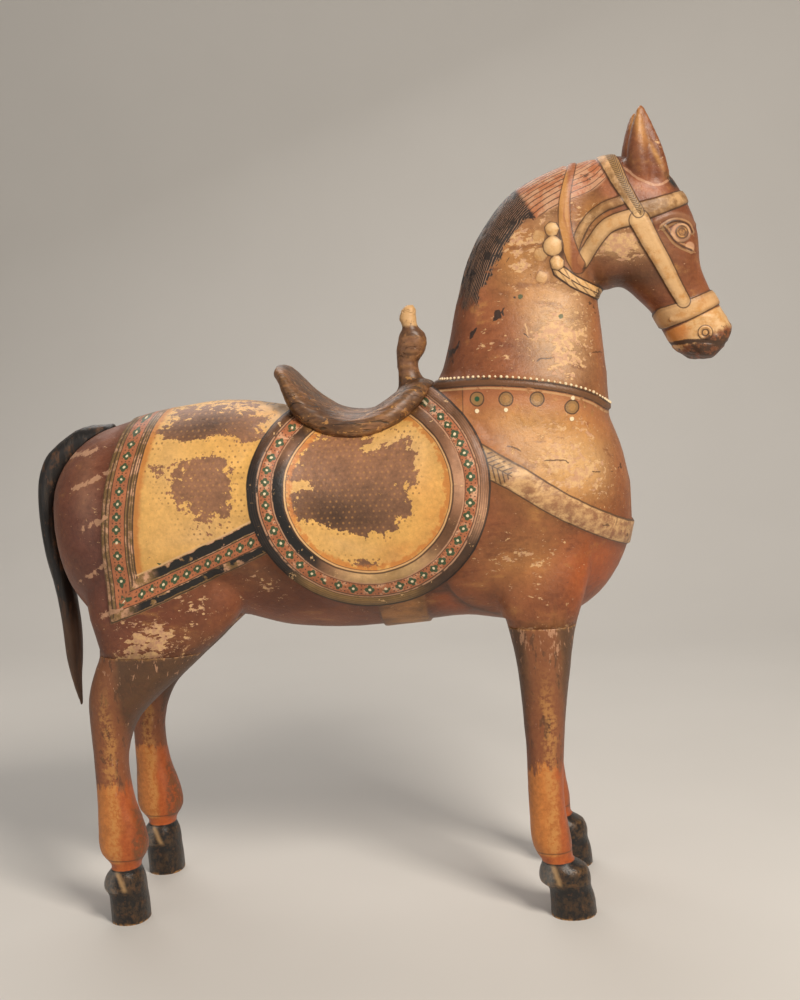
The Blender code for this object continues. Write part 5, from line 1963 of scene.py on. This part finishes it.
    def ground(self, spots: Spots) -> Array:
        """The colour under the flaking: red-brown, with a painted highlight in gold and cream on the breast,
        and deep red below that is partly painted shade.
        """
        colours = np.tile(np.array(Pigment.RED_BROWN.value), (len(spots.places), 1))
        warm = clouds(spots.places, 0.09, 21)
        colours = stain(colours, 0.25 + 0.25 * warm, Pigment.TERRACOTTA)
        for x, z, long, wide, turn, share, pigment in self.stains:
            colours = stain(colours, share * spots.patch(x, z, long, wide, turn) * (1 + 0.25 * warm),
                            pigment)
        low, high = self.girth
        beside = np.abs(spots.x - 0.5 * (low + high)) - 0.5 * (high - low)
        leafed = 0.5 + 0.5 * np.cos(620 * (spots.x + 1.6 * spots.z + 0.9 * np.abs(beside)))
        ribbon = ramp(-beside, 0, 0.002) * (spots.z < self.girth_top)
        colours = stain(colours, ribbon * (0.55 + 0.3 * warm), Pigment.GOLD)
        colours = stain(colours, ribbon * ramp(leafed, 0.55, 0.95) * 0.6, Pigment.UMBER)
        away = np.hypot(spots.x - self.lobe_middle[0], spots.z - self.lobe_middle[1]) - self.lobe_radius
        lobe = np.exp(-((away / 0.0020) ** 2)) * ramp(0.175 - spots.x, 0, 0.02)
        lobe = lobe * ramp(0.440 - spots.z, 0, 0.015)
        edges = np.exp(-((beside / 0.0018) ** 2)) * (spots.z < self.girth_top)
        return stain(colours, np.maximum(lobe, edges) * 0.85, Pigment.UMBER)

    def total(self, spots: Spots, patches: tuple[Patch, ...]) -> Array:
        """The strongest of several patches at each point."""
        return np.max([share * spots.patch(*oval) for *oval, share in patches], axis=0)

    def mark(self, body: bpy.types.Object) -> None:
        """Writes on the body's mesh everything that its paint reads."""
        places = places_of(body.data)
        spots = Spots(places)
        near_line = np.full(len(places), OUT_OF_REACH)
        for ornament in self.ornaments:
            for name, values in ornament.marks(spots).items():
                if name in self.thin_lines:
                    near_line = np.minimum(near_line, np.abs(values))
                if values.ndim == 2:
                    write_colour(body.data, name, values)
                else:
                    write_value(body.data, name, values)
        write_value(body.data, "near_line", near_line)
        write_colour(body.data, "ground", self.ground(spots))
        uneven = 1 + 0.35 * clouds(places, 0.04, 23)
        write_colour(body.data, "field", stained(spots, Pigment.YELLOW, self.field_stains, uneven))
        write_colour(body.data, "field_under", stained(spots, Pigment.ROSE, self.field_worn, uneven))
        write_value(body.data, "gesso", self.total(spots, self.gesso))
        write_value(body.data, "bare", self.total(spots, self.bare))
        write_value(body.data, "field_bare", self.total(spots, self.field_bare)
                    - self.total(spots, self.field_kept))


def mark_surface(data: bpy.types.Mesh) -> None:
    """Writes where each vertex is, and how hollow and how proud the mesh is there."""
    first, second = joined(data)
    places, normals = places_of(data), normals_of(data)
    for letter, values in zip("xyz", places.T):
        write_value(data, f"place_{letter}", values)
    lengths = np.linalg.norm(places[first] - places[second], axis=1)
    ends = np.concatenate((first, second))
    counts = np.maximum(np.bincount(ends, None, len(places)), 1)
    reach = np.bincount(ends, np.tile(lengths, 2), len(places)) / counts
    lift = ((spread(places, first, second) - places) * normals).sum(axis=1)
    hollow = lift / (SHARP_BEND * np.maximum(reach, SHORTEST_EDGE) ** 2)
    for _ in range(2):
        hollow = 0.5 * hollow + 0.5 * spread(hollow, first, second)
    write_value(data, "hollow", np.clip(hollow, 0, 1))
    write_value(data, "proud", np.clip(-hollow, 0, 1))


class FittedBlock:
    """A piece that is carved in a block of its own and fitted to the body."""

    name: str
    voxel: float
    smooth: float

    def lofts(self) -> Lofts:
        """Its form."""
        raise NotImplementedError

    def grain(self, places: Array) -> Array:
        """How far its surface stands up at each point, in metres."""
        raise NotImplementedError

    def build(self, mould: bpy.types.Object) -> bpy.types.Object:
        """Makes the piece clear of the body.

        Args:
            mould: The body, a little larger all round.

        Returns:
            The piece.
        """
        made = object_from(self.name, self.lofts().mesh)
        fuse(made, self.voxel)
        relax(made.data, 4, np.full(len(made.data.vertices), self.smooth))
        refine(made)
        places = places_of(made.data)
        move_to(made.data, places + normals_of(made.data) * self.grain(places)[:, None])
        cut(made, "DIFFERENCE", mould)
        largest_body(made)
        return made


@dataclass
class CarvedTail(FittedBlock):
    """The tail that hangs against the rump."""

    tail: tuple[Station, ...] = (
        (-0.343, 0.612, -0.346, 0.640, 0.015),
        (-0.378, 0.602, -0.390, 0.637, 0.018),
        (-0.398, 0.592, -0.424, 0.617, 0.020),
        (-0.411, 0.576, -0.446, 0.594, 0.021),
        (-0.423, 0.553, -0.456, 0.561, 0.022),
        (-0.430, 0.515, -0.4570, 0.518, 0.022),
        (-0.427, 0.475, -0.4525, 0.472, 0.021),
        (-0.418, 0.430, -0.4430, 0.425, 0.020),
        (-0.413, 0.380, -0.4370, 0.378, 0.019),
        (-0.414, 0.335, -0.4345, 0.331, 0.016),
        (-0.4175, 0.300, -0.4290, 0.296, 0.011),
        (-0.4185, 0.262, -0.4205, 0.261, 0.003),
    )
    name: str = "carved_tail"
    voxel: float = 0.003
    smooth: float = 0.8

    def lofts(self) -> Lofts:
        """One loft from its root to its tip."""
        lofts = Lofts()
        lofts.add(self.tail, squareness=2.0, sides=24)
        return lofts

    def grain(self, places: Array) -> Array:
        """Its strands, which run down it."""
        return 0.0005 * clouds(places * np.array((1.0, 1.0, 0.12)), 0.008, 31, 2)


@dataclass
class CarvedSaddle(FittedBlock):
    """The wooden saddle with its broken finial."""

    seat: tuple[Station, ...] = (
        (-0.1255, 0.692, -0.120, 0.7070, 0.036),
        (-0.1160, 0.677, -0.107, 0.7010, 0.057),
        (-0.1070, 0.652, -0.092, 0.6845, 0.070),
        (-0.0880, 0.624, -0.073, 0.6665, 0.077),
        (-0.0600, 0.608, -0.050, 0.6510, 0.081),
        (-0.0300, 0.601, -0.026, 0.6440, 0.083),
        (0.0000, 0.602, -0.002, 0.6450, 0.083),
        (0.0330, 0.612, 0.020, 0.6570, 0.078),
        (0.0560, 0.628, 0.042, 0.6720, 0.066),
        (0.0740, 0.648, 0.062, 0.6790, 0.048),
        (0.0830, 0.664, 0.076, 0.6760, 0.026),
    )
    finial: tuple[Station, ...] = (
        (0.028, 0.648, 0.084, 0.648, 0.028),
        (0.032, 0.667, 0.0745, 0.667, 0.020),
        (0.0335, 0.685, 0.0625, 0.685, 0.0145),
        (0.0325, 0.700, 0.0600, 0.700, 0.0130),
        (0.0325, 0.712, 0.0680, 0.712, 0.0145),
        (0.0340, 0.725, 0.0725, 0.725, 0.0155),
        (0.0375, 0.737, 0.0700, 0.737, 0.0150),
        (0.0420, 0.746, 0.0620, 0.746, 0.0115),
        (0.0380, 0.757, 0.0605, 0.757, 0.0105),
        (0.0410, 0.767, 0.0605, 0.767, 0.0085),
        (0.0480, 0.774, 0.0570, 0.774, 0.0050),
    )
    name: str = "carved_saddle"
    voxel: float = 0.003
    smooth: float = 0.7

    def lofts(self) -> Lofts:
        """The seat and the finial on it."""
        lofts = Lofts()
        lofts.add(self.seat, squareness=2.6, sides=36)
        lofts.add(self.finial, squareness=2.0, sides=24)
        return lofts

    def grain(self, places: Array) -> Array:
        """The grain along the seat, and a slight unevenness."""
        lengthwise = places * np.array((0.15, 1.0, 1.0))
        return 0.00045 * clouds(lengthwise, 0.006, 33, 2) + 0.0003 * clouds(places, 0.02, 34, 2)


@dataclass
class BeadRow:
    """The row of white beads along the top of the neck band."""

    band: NeckBand = field(default_factory=NeckBand)
    pitch: float = 0.0072
    radius: float = 0.0021
    starts_at: float = 0.088

    def path(self, body: bpy.types.Object) -> Array:
        """The points of the row on the body, from one flank round the breast to the other."""
        tree = BVHTree.FromObject(body, bpy.context.evaluated_depsgraph_get())
        line = curve_through(self.band.route, 12)
        flank = [(x, z + self.band.bead_rise) for x, z in line if self.starts_at <= x <= 0.292]
        points = []
        for x, z in flank:
            hit = tree.ray_cast(Vector((x, -0.4, z)), Vector((0, 1, 0)))[0]
            if hit:
                points.append(hit)
        corner = points[-1].copy()
        for share in np.linspace(-0.94, 0.94, 33):
            y = -share * corner.y
            hit = tree.ray_cast(Vector((0.6, y, corner.z - 0.010 * (1 - share * share))),
                                Vector((-1, 0, 0)))[0]
            if hit:
                points.append(hit)
        far = [Vector((point.x, -point.y, point.z)) for point in points[:len(flank)]]
        return np.array([tuple(point) for point in points + far[::-1]])

    def build(self, body: bpy.types.Object, material: bpy.types.Material) -> bpy.types.Object:
        """Sets the beads along their path by Geometry Nodes.

        Args:
            body: The body that they stand on.
            material: Their finish.

        Returns:
            The row as one mesh.
        """
        path = self.path(body)
        mesh = bmesh.new()
        corners = [mesh.verts.new(point) for point in path]
        for start, end in zip(corners[:-1], corners[1:]):
            mesh.edges.new((start, end))
        row = bpy.data.objects.new("neck_beads", bpy.data.meshes.new("neck_beads"))
        mesh.to_mesh(row.data)
        mesh.free()
        bpy.context.scene.collection.objects.link(row)
        tree = bpy.data.node_groups.new("Bead row", "GeometryNodeTree")
        tree.interface.new_socket("Geometry", in_out="INPUT", socket_type="NodeSocketGeometry")
        sockets = {name: tree.interface.new_socket(name, in_out="INPUT",
                                                   socket_type="NodeSocketFloat").identifier
                   for name in ("Pitch", "Radius")}
        sockets["Finish"] = tree.interface.new_socket("Finish", in_out="INPUT",
                                                      socket_type="NodeSocketMaterial").identifier
        tree.interface.new_socket("Geometry", in_out="OUTPUT", socket_type="NodeSocketGeometry")
        new, join = tree.nodes.new, tree.links.new
        source, drain = new("NodeGroupInput"), new("NodeGroupOutput")
        curve, resample, instance, bead, realise, finish = (
            new(f"GeometryNode{kind}") for kind in ("MeshToCurve", "ResampleCurve", "InstanceOnPoints",
                                                    "MeshIcoSphere", "RealizeInstances", "SetMaterial"))
        uneven = new("FunctionNodeRandomValue")
        uneven.data_type = "FLOAT"
        uneven.inputs[2].default_value, uneven.inputs[3].default_value = 0.75, 1.1
        uneven.inputs["Seed"].default_value = 5
        bead.inputs["Subdivisions"].default_value = 2
        resample.mode = "LENGTH"
        join(source.outputs["Geometry"], curve.inputs[0])
        join(curve.outputs[0], resample.inputs["Curve"])
        join(source.outputs["Pitch"], resample.inputs["Length"])
        join(resample.outputs[0], instance.inputs["Points"])
        join(source.outputs["Radius"], bead.inputs["Radius"])
        join(bead.outputs[0], instance.inputs["Instance"])
        join(uneven.outputs[1], instance.inputs["Scale"])
        join(instance.outputs[0], realise.inputs[0])
        join(realise.outputs[0], finish.inputs["Geometry"])
        join(source.outputs["Finish"], finish.inputs["Material"])
        join(finish.outputs[0], drain.inputs[0])
        modifier = row.modifiers.new("Beads", "NODES")
        modifier.node_group = tree
        modifier[sockets["Pitch"]], modifier[sockets["Radius"]] = self.pitch, self.radius
        modifier[sockets["Finish"]] = material
        bake_modifiers(row)
        row.data.shade_smooth()
        return row


# Finishes


@dataclass(frozen=True)
class BodyPaint:
    """The body's paint: a red-brown ground, flaked to gesso and wood, with the ornaments over it."""

    name: str = "Worn painted wood"
    flake: float = 0.013

    def make(self, ornaments: list[Ornament]) -> bpy.types.Material:
        """Builds the material.

        Args:
            ornaments: The ornaments that are painted on it, in order.

        Returns:
            The material.
        """
        material, brush = new_material(self.name)
        cloud = brush.noise(0.060, 5.0, shift=1.1, rough=0.60)
        fine = brush.noise(0.0060, 6.0, shift=1.9, rough=0.66)
        coat = Coat(brush, brush.times(brush.colour("ground"), cloud * 1.2 + fine * 0.8),
                    0.38 + fine * 0.14)
        streaks = brush.noise(0.020, 6.0, (0.4, 1.0, 1.0), 2.4, 0.70)
        coat.lay(brush.rise(streaks, 0.52, 0.72) * brush.rise(cloud, 0.42, 0.62) * 0.45, Pigment.GOLD)
        coat.lay(brush.rise(streaks, 0.46, 0.34) * 0.45, Pigment.DEEP_RED)
        coat.lay(brush.flakes(0.24, 0.004) * 0.65, Pigment.UMBER)
        # Gold on the raised edges: partly wear and partly a painted highlight.
        coat.lay(brush.value("proud") * brush.rise(fine, 0.40, 0.60) * 0.35, Pigment.GOLD)
        tone = brush.mix(brush.rise(fine, 0.40, 0.60), Pigment.PINK_CREAM, Pigment.CREAM)
        gesso = brush.flakes(brush.value("gesso"), self.flake, Effect.STREAKS, 0.02)
        specks = brush.flakes(brush.value("gesso") * 0.24 + 0.23, 0.0055, Effect.STREAKS, 0.02)
        coat.lay(gesso.higher(specks) * 0.80, tone, 0.60, -0.0002)
        for ornament in ornaments:
            ornament.paint(coat)
        bare = brush.flakes(brush.value("bare"), 0.016, Effect.STREAKS)
        coat.lay(bare * 0.80, Pigment.UMBER, 0.6)
        rubbed = brush.value("proud") * brush.rise(fine, 0.46, 0.62)
        coat.lay(rubbed * 0.22, Pigment.ROSE, 0.36)
        # Darker in the hollows of the relief.
        coat.darken_hollows(0.7, 0.70, Pigment.UMBER)
        coat.texture(fine)
        coat.finish(material, 0.5)
        return material


@dataclass(frozen=True)
class LegPaint:
    """A pair of legs in paint: brown and worn above, orange-red below, with a black hoof."""

    name: str
    bright_below: float
    middle: float
    ring: float = 0.070

    def make(self) -> bpy.types.Material:
        """Builds the material."""
        material, brush = new_material(self.name)
        height, ahead = brush.axis("Z"), brush.axis("X") - self.middle
        cloud = brush.noise(0.050, 5.0, shift=1.1, rough=0.62)
        fine = brush.noise(0.0055, 6.0, shift=1.9, rough=0.68)
        tone = cloud * 0.9 + fine * 1.1
        ragged = (fine - 0.5) * 0.010 + (cloud - 0.5) * 0.030
        coat = Coat(brush, brush.times(brush.mix(brush.rise(height, 0.20, 0.34), Pigment.RED_BROWN,
                                                 Pigment.BROWN), tone), 0.38 + fine * 0.16)
        coat.lay(brush.rise(ahead.size() + ragged, 0.026, 0.012) * 0.55, Pigment.TERRACOTTA)
        coat.lay(brush.flakes(0.36, 0.014, Effect.DRIPS) * 0.6, Pigment.UMBER)
        bright = brush.rise(height + (brush.noise(0.012, 6.0, (1.0, 1.0, 0.35), 2.0, 0.7) - 0.5) * 0.08,
                            self.bright_below + 0.004, self.bright_below - 0.004)
        red = brush.mix(brush.rise(ahead + ragged, 0.002, 0.016), Pigment.ORANGE,
                        Pigment.ORANGE_RED)
        coat.lay(bright * 0.85, brush.times(red, tone))
        stripe = brush.rise((ahead - 0.004 + ragged).size(), 0.010, 0.003) * brush.rise(height, 0.33, 0.26)
        coat.lay(stripe * brush.rise(fine, 0.42, 0.56) * 0.6, Pigment.GOLD)
        coat.lay(brush.rise((ahead + ragged).size(), 0.021, 0.028) * brush.rise(fine, 0.36, 0.54) * 0.75,
                 Pigment.UMBER)
        pale = brush.flakes(brush.rise(height, 0.30, 0.37) * 0.13 + 0.26, 0.008, Effect.DRIPS, 0.02)
        coat.lay(pale * brush.rise(height, 0.070, 0.30) * 0.60, Pigment.PINK_CREAM, 0.60, -0.0002)
        coat.lay(brush.line(height, self.ring + 0.0045, 0.0055, 0.002) * 0.85,
                 brush.times(Pigment.ORANGE_RED, tone))
        coat.lay(brush.line(height, self.ring + 0.0135, 0.0010) * 0.6, Pigment.UMBER)
        hoof = brush.rise(height + ragged * 0.10, self.ring + 0.0006, self.ring - 0.0006)
        coat.lay(hoof, brush.times(Pigment.BLACK, tone), 0.36)
        coat.lay(hoof * brush.flakes(0.36, 0.010) * 0.8, Pigment.UMBER, 0.5)
        cuff = brush.within(height, 0.042, self.ring - 0.002) * brush.rise(ahead - ragged, 0.006, -0.006)
        coat.lay(cuff * 0.75, brush.times((0.140, 0.135, 0.125), tone), 0.40)
        coat.lay(brush.line(ahead * 0.8 + height * 0.3 + ragged * 0.3, 0.0215, 0.0006, 0.004)
                 * brush.within(height, 0.044, self.ring - 0.002, 0.003) * 0.45, Pigment.CREAM)
        coat.lay(brush.rise(height + ragged * 0.2, 0.0022, 0.0008) * brush.rise(fine, 0.45, 0.52) * 0.7,
                 Pigment.GOLD)
        # Gold on the raised edges: partly wear and partly a painted highlight.
        coat.lay(brush.value("proud") * brush.rise(fine, 0.40, 0.58) * 0.5, Pigment.GOLD)
        # Darker in the hollows of the relief.
        coat.darken_hollows(0.7, 0.70, Pigment.UMBER)
        coat.texture(fine)
        coat.finish(material, 0.5)
        return material


@dataclass(frozen=True)
class TailPaint:
    """The tail's paint: black, rubbed brown and grey along its strands."""

    name: str = "Tail paint"

    def make(self) -> bpy.types.Material:
        """Builds the material."""
        material, brush = new_material(self.name)
        strands = brush.noise(0.006, 5.0, (1.0, 1.0, 0.10), 2.0, 0.65)
        cloud = brush.noise(0.030, 6.0, shift=3.0, rough=0.68)
        coat = Coat(brush, brush.times(Pigment.BLACK, 0.5 + cloud * 1.6), 0.34 + cloud * 0.14)
        coat.lay(brush.rise(strands, 0.50, 0.68) * 0.65, Pigment.SMOKE, height=0.0004)
        coat.lay(brush.rise(cloud, 0.52, 0.62) * brush.rise(strands, 0.42, 0.6) * 0.7, Pigment.BROWN)
        tip = brush.rise(brush.axis("Z") + (cloud - 0.5) * 0.10, 0.42, 0.36)
        coat.lay(tip * 0.75, brush.times(Pigment.BROWN, 0.3 + strands * 1.2), 0.5)
        coat.lay(brush.flakes(0.26, 0.006, Effect.DRIPS) * 0.6, Pigment.ROSE)
        # Darker in the hollows of the relief.
        coat.darken_hollows(0.8, 0.7, Pigment.BLACK)
        coat.finish(material, 0.5)
        return material


@dataclass(frozen=True)
class SaddleWood:
    """The saddle's bare dark wood, with checks along its grain and a pale broken tip."""

    name: str = "Saddle wood"

    def make(self) -> bpy.types.Material:
        """Builds the material."""
        material, brush = new_material(self.name)
        cloud = brush.noise(0.030, 6.0, (0.5, 1.0, 1.0), 3.0, 0.66)
        coat = Coat(brush, brush.times(Pigment.BROWN, 0.2 + cloud * 1.2), 0.36 + cloud * 0.2)
        fibres = brush.effect(Effect.GRAIN, "Fibres", size=0.0028)
        coat.lay(fibres * brush.rise(cloud, 0.44, 0.58) * 0.65, Pigment.ROSE, height=0.0002)
        coat.lay(brush.flakes(0.34, 0.007, Effect.STREAKS) * 0.65, Pigment.GOLD)
        coat.lay(brush.flakes(0.40, 0.012, Effect.STREAKS) * 0.6, Pigment.UMBER)
        checks = brush.effect(Effect.GRAIN, "Checks", size=0.007)
        coat.lay(checks, Pigment.BLACK, height=-0.0008)
        high = brush.axis("Z") + (cloud - 0.5) * 0.020
        ahead = brush.rise(brush.axis("X"), 0.022, 0.030)
        neck = brush.rise(high, 0.682, 0.694) * ahead
        coat.lay(neck * 0.65,
                 brush.mix(brush.rise(cloud, 0.40, 0.60), Pigment.BROWN, Pigment.ROSE))
        coat.lay(brush.rise(high, 0.744, 0.750) * ahead * 0.85, Pigment.CREAM, 0.6)
        coat.lay(neck * brush.flakes(0.34, 0.008) * 0.7, Pigment.UMBER)
        # Gold on the raised edges of the wood: partly wear and partly a painted highlight.
        coat.lay(brush.value("proud") * brush.rise(cloud, 0.40, 0.55) * 0.6, Pigment.GOLD, 0.38)
        horn = brush.rise(brush.axis("X") - brush.axis("Z") * 0.35, -0.322, -0.340)
        coat.lay(horn * brush.rise(cloud, 0.62, 0.45) * 0.6, Pigment.UMBER)
        # Darker in the hollows of the relief.
        coat.darken_hollows(0.9, 0.8, Pigment.BLACK)
        coat.finish(material, 0.5)
        return material


@dataclass(frozen=True)
class BeadPaint:
    """The white of the neck beads."""

    name: str = "Bead white"

    def make(self) -> bpy.types.Material:
        """Builds the material."""
        material, brush = new_material(self.name)
        coat = Coat(brush, Pigment.WHITE, 0.5)
        coat.lay(brush.rise(brush.noise(0.006, 3.0), 0.5, 0.7) * 0.6, Pigment.GOLD)
        coat.finish(material)
        return material


@dataclass
class Studio:
    """The pale floor, the soft lights and the camera at the photograph's angle."""

    camera_at: tuple[float, float, float] = (0.2299, -1.9349, 0.7273)
    yaw: float = 6.0
    pitch: float = 6.0
    roll: float = -3.0
    lens: float = 54.0

    def floor(self) -> None:
        """A pale floor that curves up behind."""
        mesh = bmesh.new()
        profile = [(-6.0, 0.0), (1.6, 0.0)] + [
            (1.6 + 1.2 * math.sin(turn), 1.2 - 1.2 * math.cos(turn))
            for turn in np.linspace(0.1, math.pi / 2, 16)
        ] + [(2.8, 6.0)]
        columns = [[mesh.verts.new((x, y, z)) for y, z in profile] for x in (-7.0, 7.0)]
        for here in range(len(profile) - 1):
            mesh.faces.new((columns[0][here], columns[1][here], columns[1][here + 1], columns[0][here + 1]))
        floor = object_from("floor", mesh)
        floor.data.shade_smooth()
        material, brush = new_material("Pale floor")
        coat = Coat(brush, (0.62, 0.60, 0.57), 0.7)
        coat.colour = brush.mix(brush.noise(0.4, 2.0), (0.60, 0.58, 0.55), (0.64, 0.62, 0.59))
        coat.finish(material, 0.2)
        floor.data.materials.append(material)

    def light(self, name: str, at: tuple, size: float, power: float, colour: Colour) -> None:
        """One soft square light that faces the horse."""
        data = bpy.data.lights.new(name, "AREA")
        data.size, data.energy, data.color = size, power, colour
        lamp = bpy.data.objects.new(name, data)
        lamp.location = at
        lamp.rotation_euler = (Vector((0.05, 0, 0.5)) - Vector(at)).to_track_quat("-Z", "Y").to_euler()
        bpy.context.scene.collection.objects.link(lamp)

    def camera(self) -> None:
        """The camera that the photograph was fitted with."""
        yaw, pitch, roll = (math.radians(angle) for angle in (self.yaw, self.pitch, self.roll))
        ahead = Vector((-math.sin(yaw) * math.cos(pitch), math.cos(yaw) * math.cos(pitch),
                        -math.sin(pitch)))
        level = Vector((math.cos(yaw), math.sin(yaw), 0))
        upright = level.cross(ahead)
        right = level * math.cos(roll) + upright * math.sin(roll)
        up = upright * math.cos(roll) - level * math.sin(roll)
        data = bpy.data.cameras.new("camera")
        data.sensor_fit, data.sensor_height, data.sensor_width, data.lens = "VERTICAL", 36.0, 28.8, self.lens
        camera = bpy.data.objects.new("camera", data)
        camera.matrix_world = Matrix.Translation(self.camera_at) @ Matrix(
            (right, up, -ahead)).transposed().to_4x4()
        bpy.context.scene.collection.objects.link(camera)
        bpy.context.scene.camera = camera

    def build(self) -> None:
        """Sets up floor, lights, surroundings and camera."""
        self.floor()
        self.light("key", (1.5, -2.0, 2.5), 1.0, 105, (1.0, 0.92, 0.82))
        self.light("fill", (-2.2, -2.0, 1.2), 2.4, 12, (1.0, 0.95, 0.90))
        self.light("back", (-0.6, 1.5, 2.4), 1.6, 24, (1.0, 0.96, 0.92))
        world = bpy.data.worlds.new("room")
        world.use_nodes = True
        world.node_tree.nodes["Background"].inputs["Color"].default_value = (1.0, 0.97, 0.94, 1.0)
        world.node_tree.nodes["Background"].inputs["Strength"].default_value = 0.24
        bpy.context.scene.world = world
        bpy.context.scene.view_settings.view_transform = "Standard"
        self.camera()


def mould_of(body: bpy.types.Object, by: float) -> bpy.types.Object:
    """A copy of the body that is larger all round, used to fit pieces to it."""
    mould = copy_of(body, "mould")
    move_to(mould.data, places_of(mould.data) + normals_of(mould.data) * by)
    return mould


def settle(pieces: list[bpy.types.Object]) -> None:
    """Puts the origin under the middle of the whole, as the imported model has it."""
    everything = np.vstack([places_of(piece.data) for piece in pieces])
    middle = (everything.min(axis=0) + everything.max(axis=0)) / 2
    shift = np.array((middle[0], middle[1], everything[:, 2].min()))
    log.info("shift to the middle: %s", np.round(shift, 5))
    for piece in pieces:
        move_to(piece.data, places_of(piece.data) - shift)


def hand_over(piece: bpy.types.Object, node: Optional[str] = None) -> None:
    """Makes a piece ride and what it stands for, and reports it."""
    piece.data.shade_smooth()
    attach(piece, "root")
    if node:
        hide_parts(node)
    piece.data.calc_loop_triangles()
    log.info("%s: %d triangles", piece.name, len(piece.data.loop_triangles))


def carve_pieces(horse: CarvedHorse) -> dict[str, bpy.types.Object]:
    """Carves every piece and puts it in its place.

    Args:
        horse: The figure's sizes and ornaments.

    Returns:
        The pieces by the names of the nodes that they stand for.
    """
    pieces = horse.build()
    mould = mould_of(pieces["body"], 2 * horse.fit_gap)
    pieces["tail"] = CarvedTail().build(mould)
    pieces["saddle"] = CarvedSaddle().build(mould)
    bpy.data.objects.remove(mould)
    settle(list(pieces.values()))
    return pieces


def dress(horse: CarvedHorse, pieces: dict[str, bpy.types.Object]) -> None:
    """Paints the pieces, hands them over and sets the beads.

    Args:
        horse: The figure's sizes and ornaments.
        pieces: The pieces by the names of their nodes.
    """
    for build in (build_flaking, build_grain, build_hollow_darkening):
        build()
    horse.mark(pieces["body"])
    finishes = {"body": BodyPaint().make(horse.ornaments),
                "foreleg": LegPaint("Foreleg paint", 0.195, 0.205).make(),
                "hindleg": LegPaint("Hindleg paint", 0.182, -0.353).make(),
                "tail": TailPaint().make(),
                "saddle": SaddleWood().make()}
    for node, piece in pieces.items():
        kind = node.split("_")[0]
        mark_surface(piece.data)
        piece.data.materials.clear()
        piece.data.materials.append(finishes[kind])
        hand_over(piece, node)
    hand_over(BeadRow().build(pieces["body"], BeadPaint().make()))


def main() -> None:
    """Builds and dresses every piece of the horse."""
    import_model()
    horse = CarvedHorse()
    dress(horse, carve_pieces(horse))
    Studio().build()


if __name__ == "__main__":
    logging.basicConfig(level=logging.INFO, format="%(name)s: %(message)s")
    main()
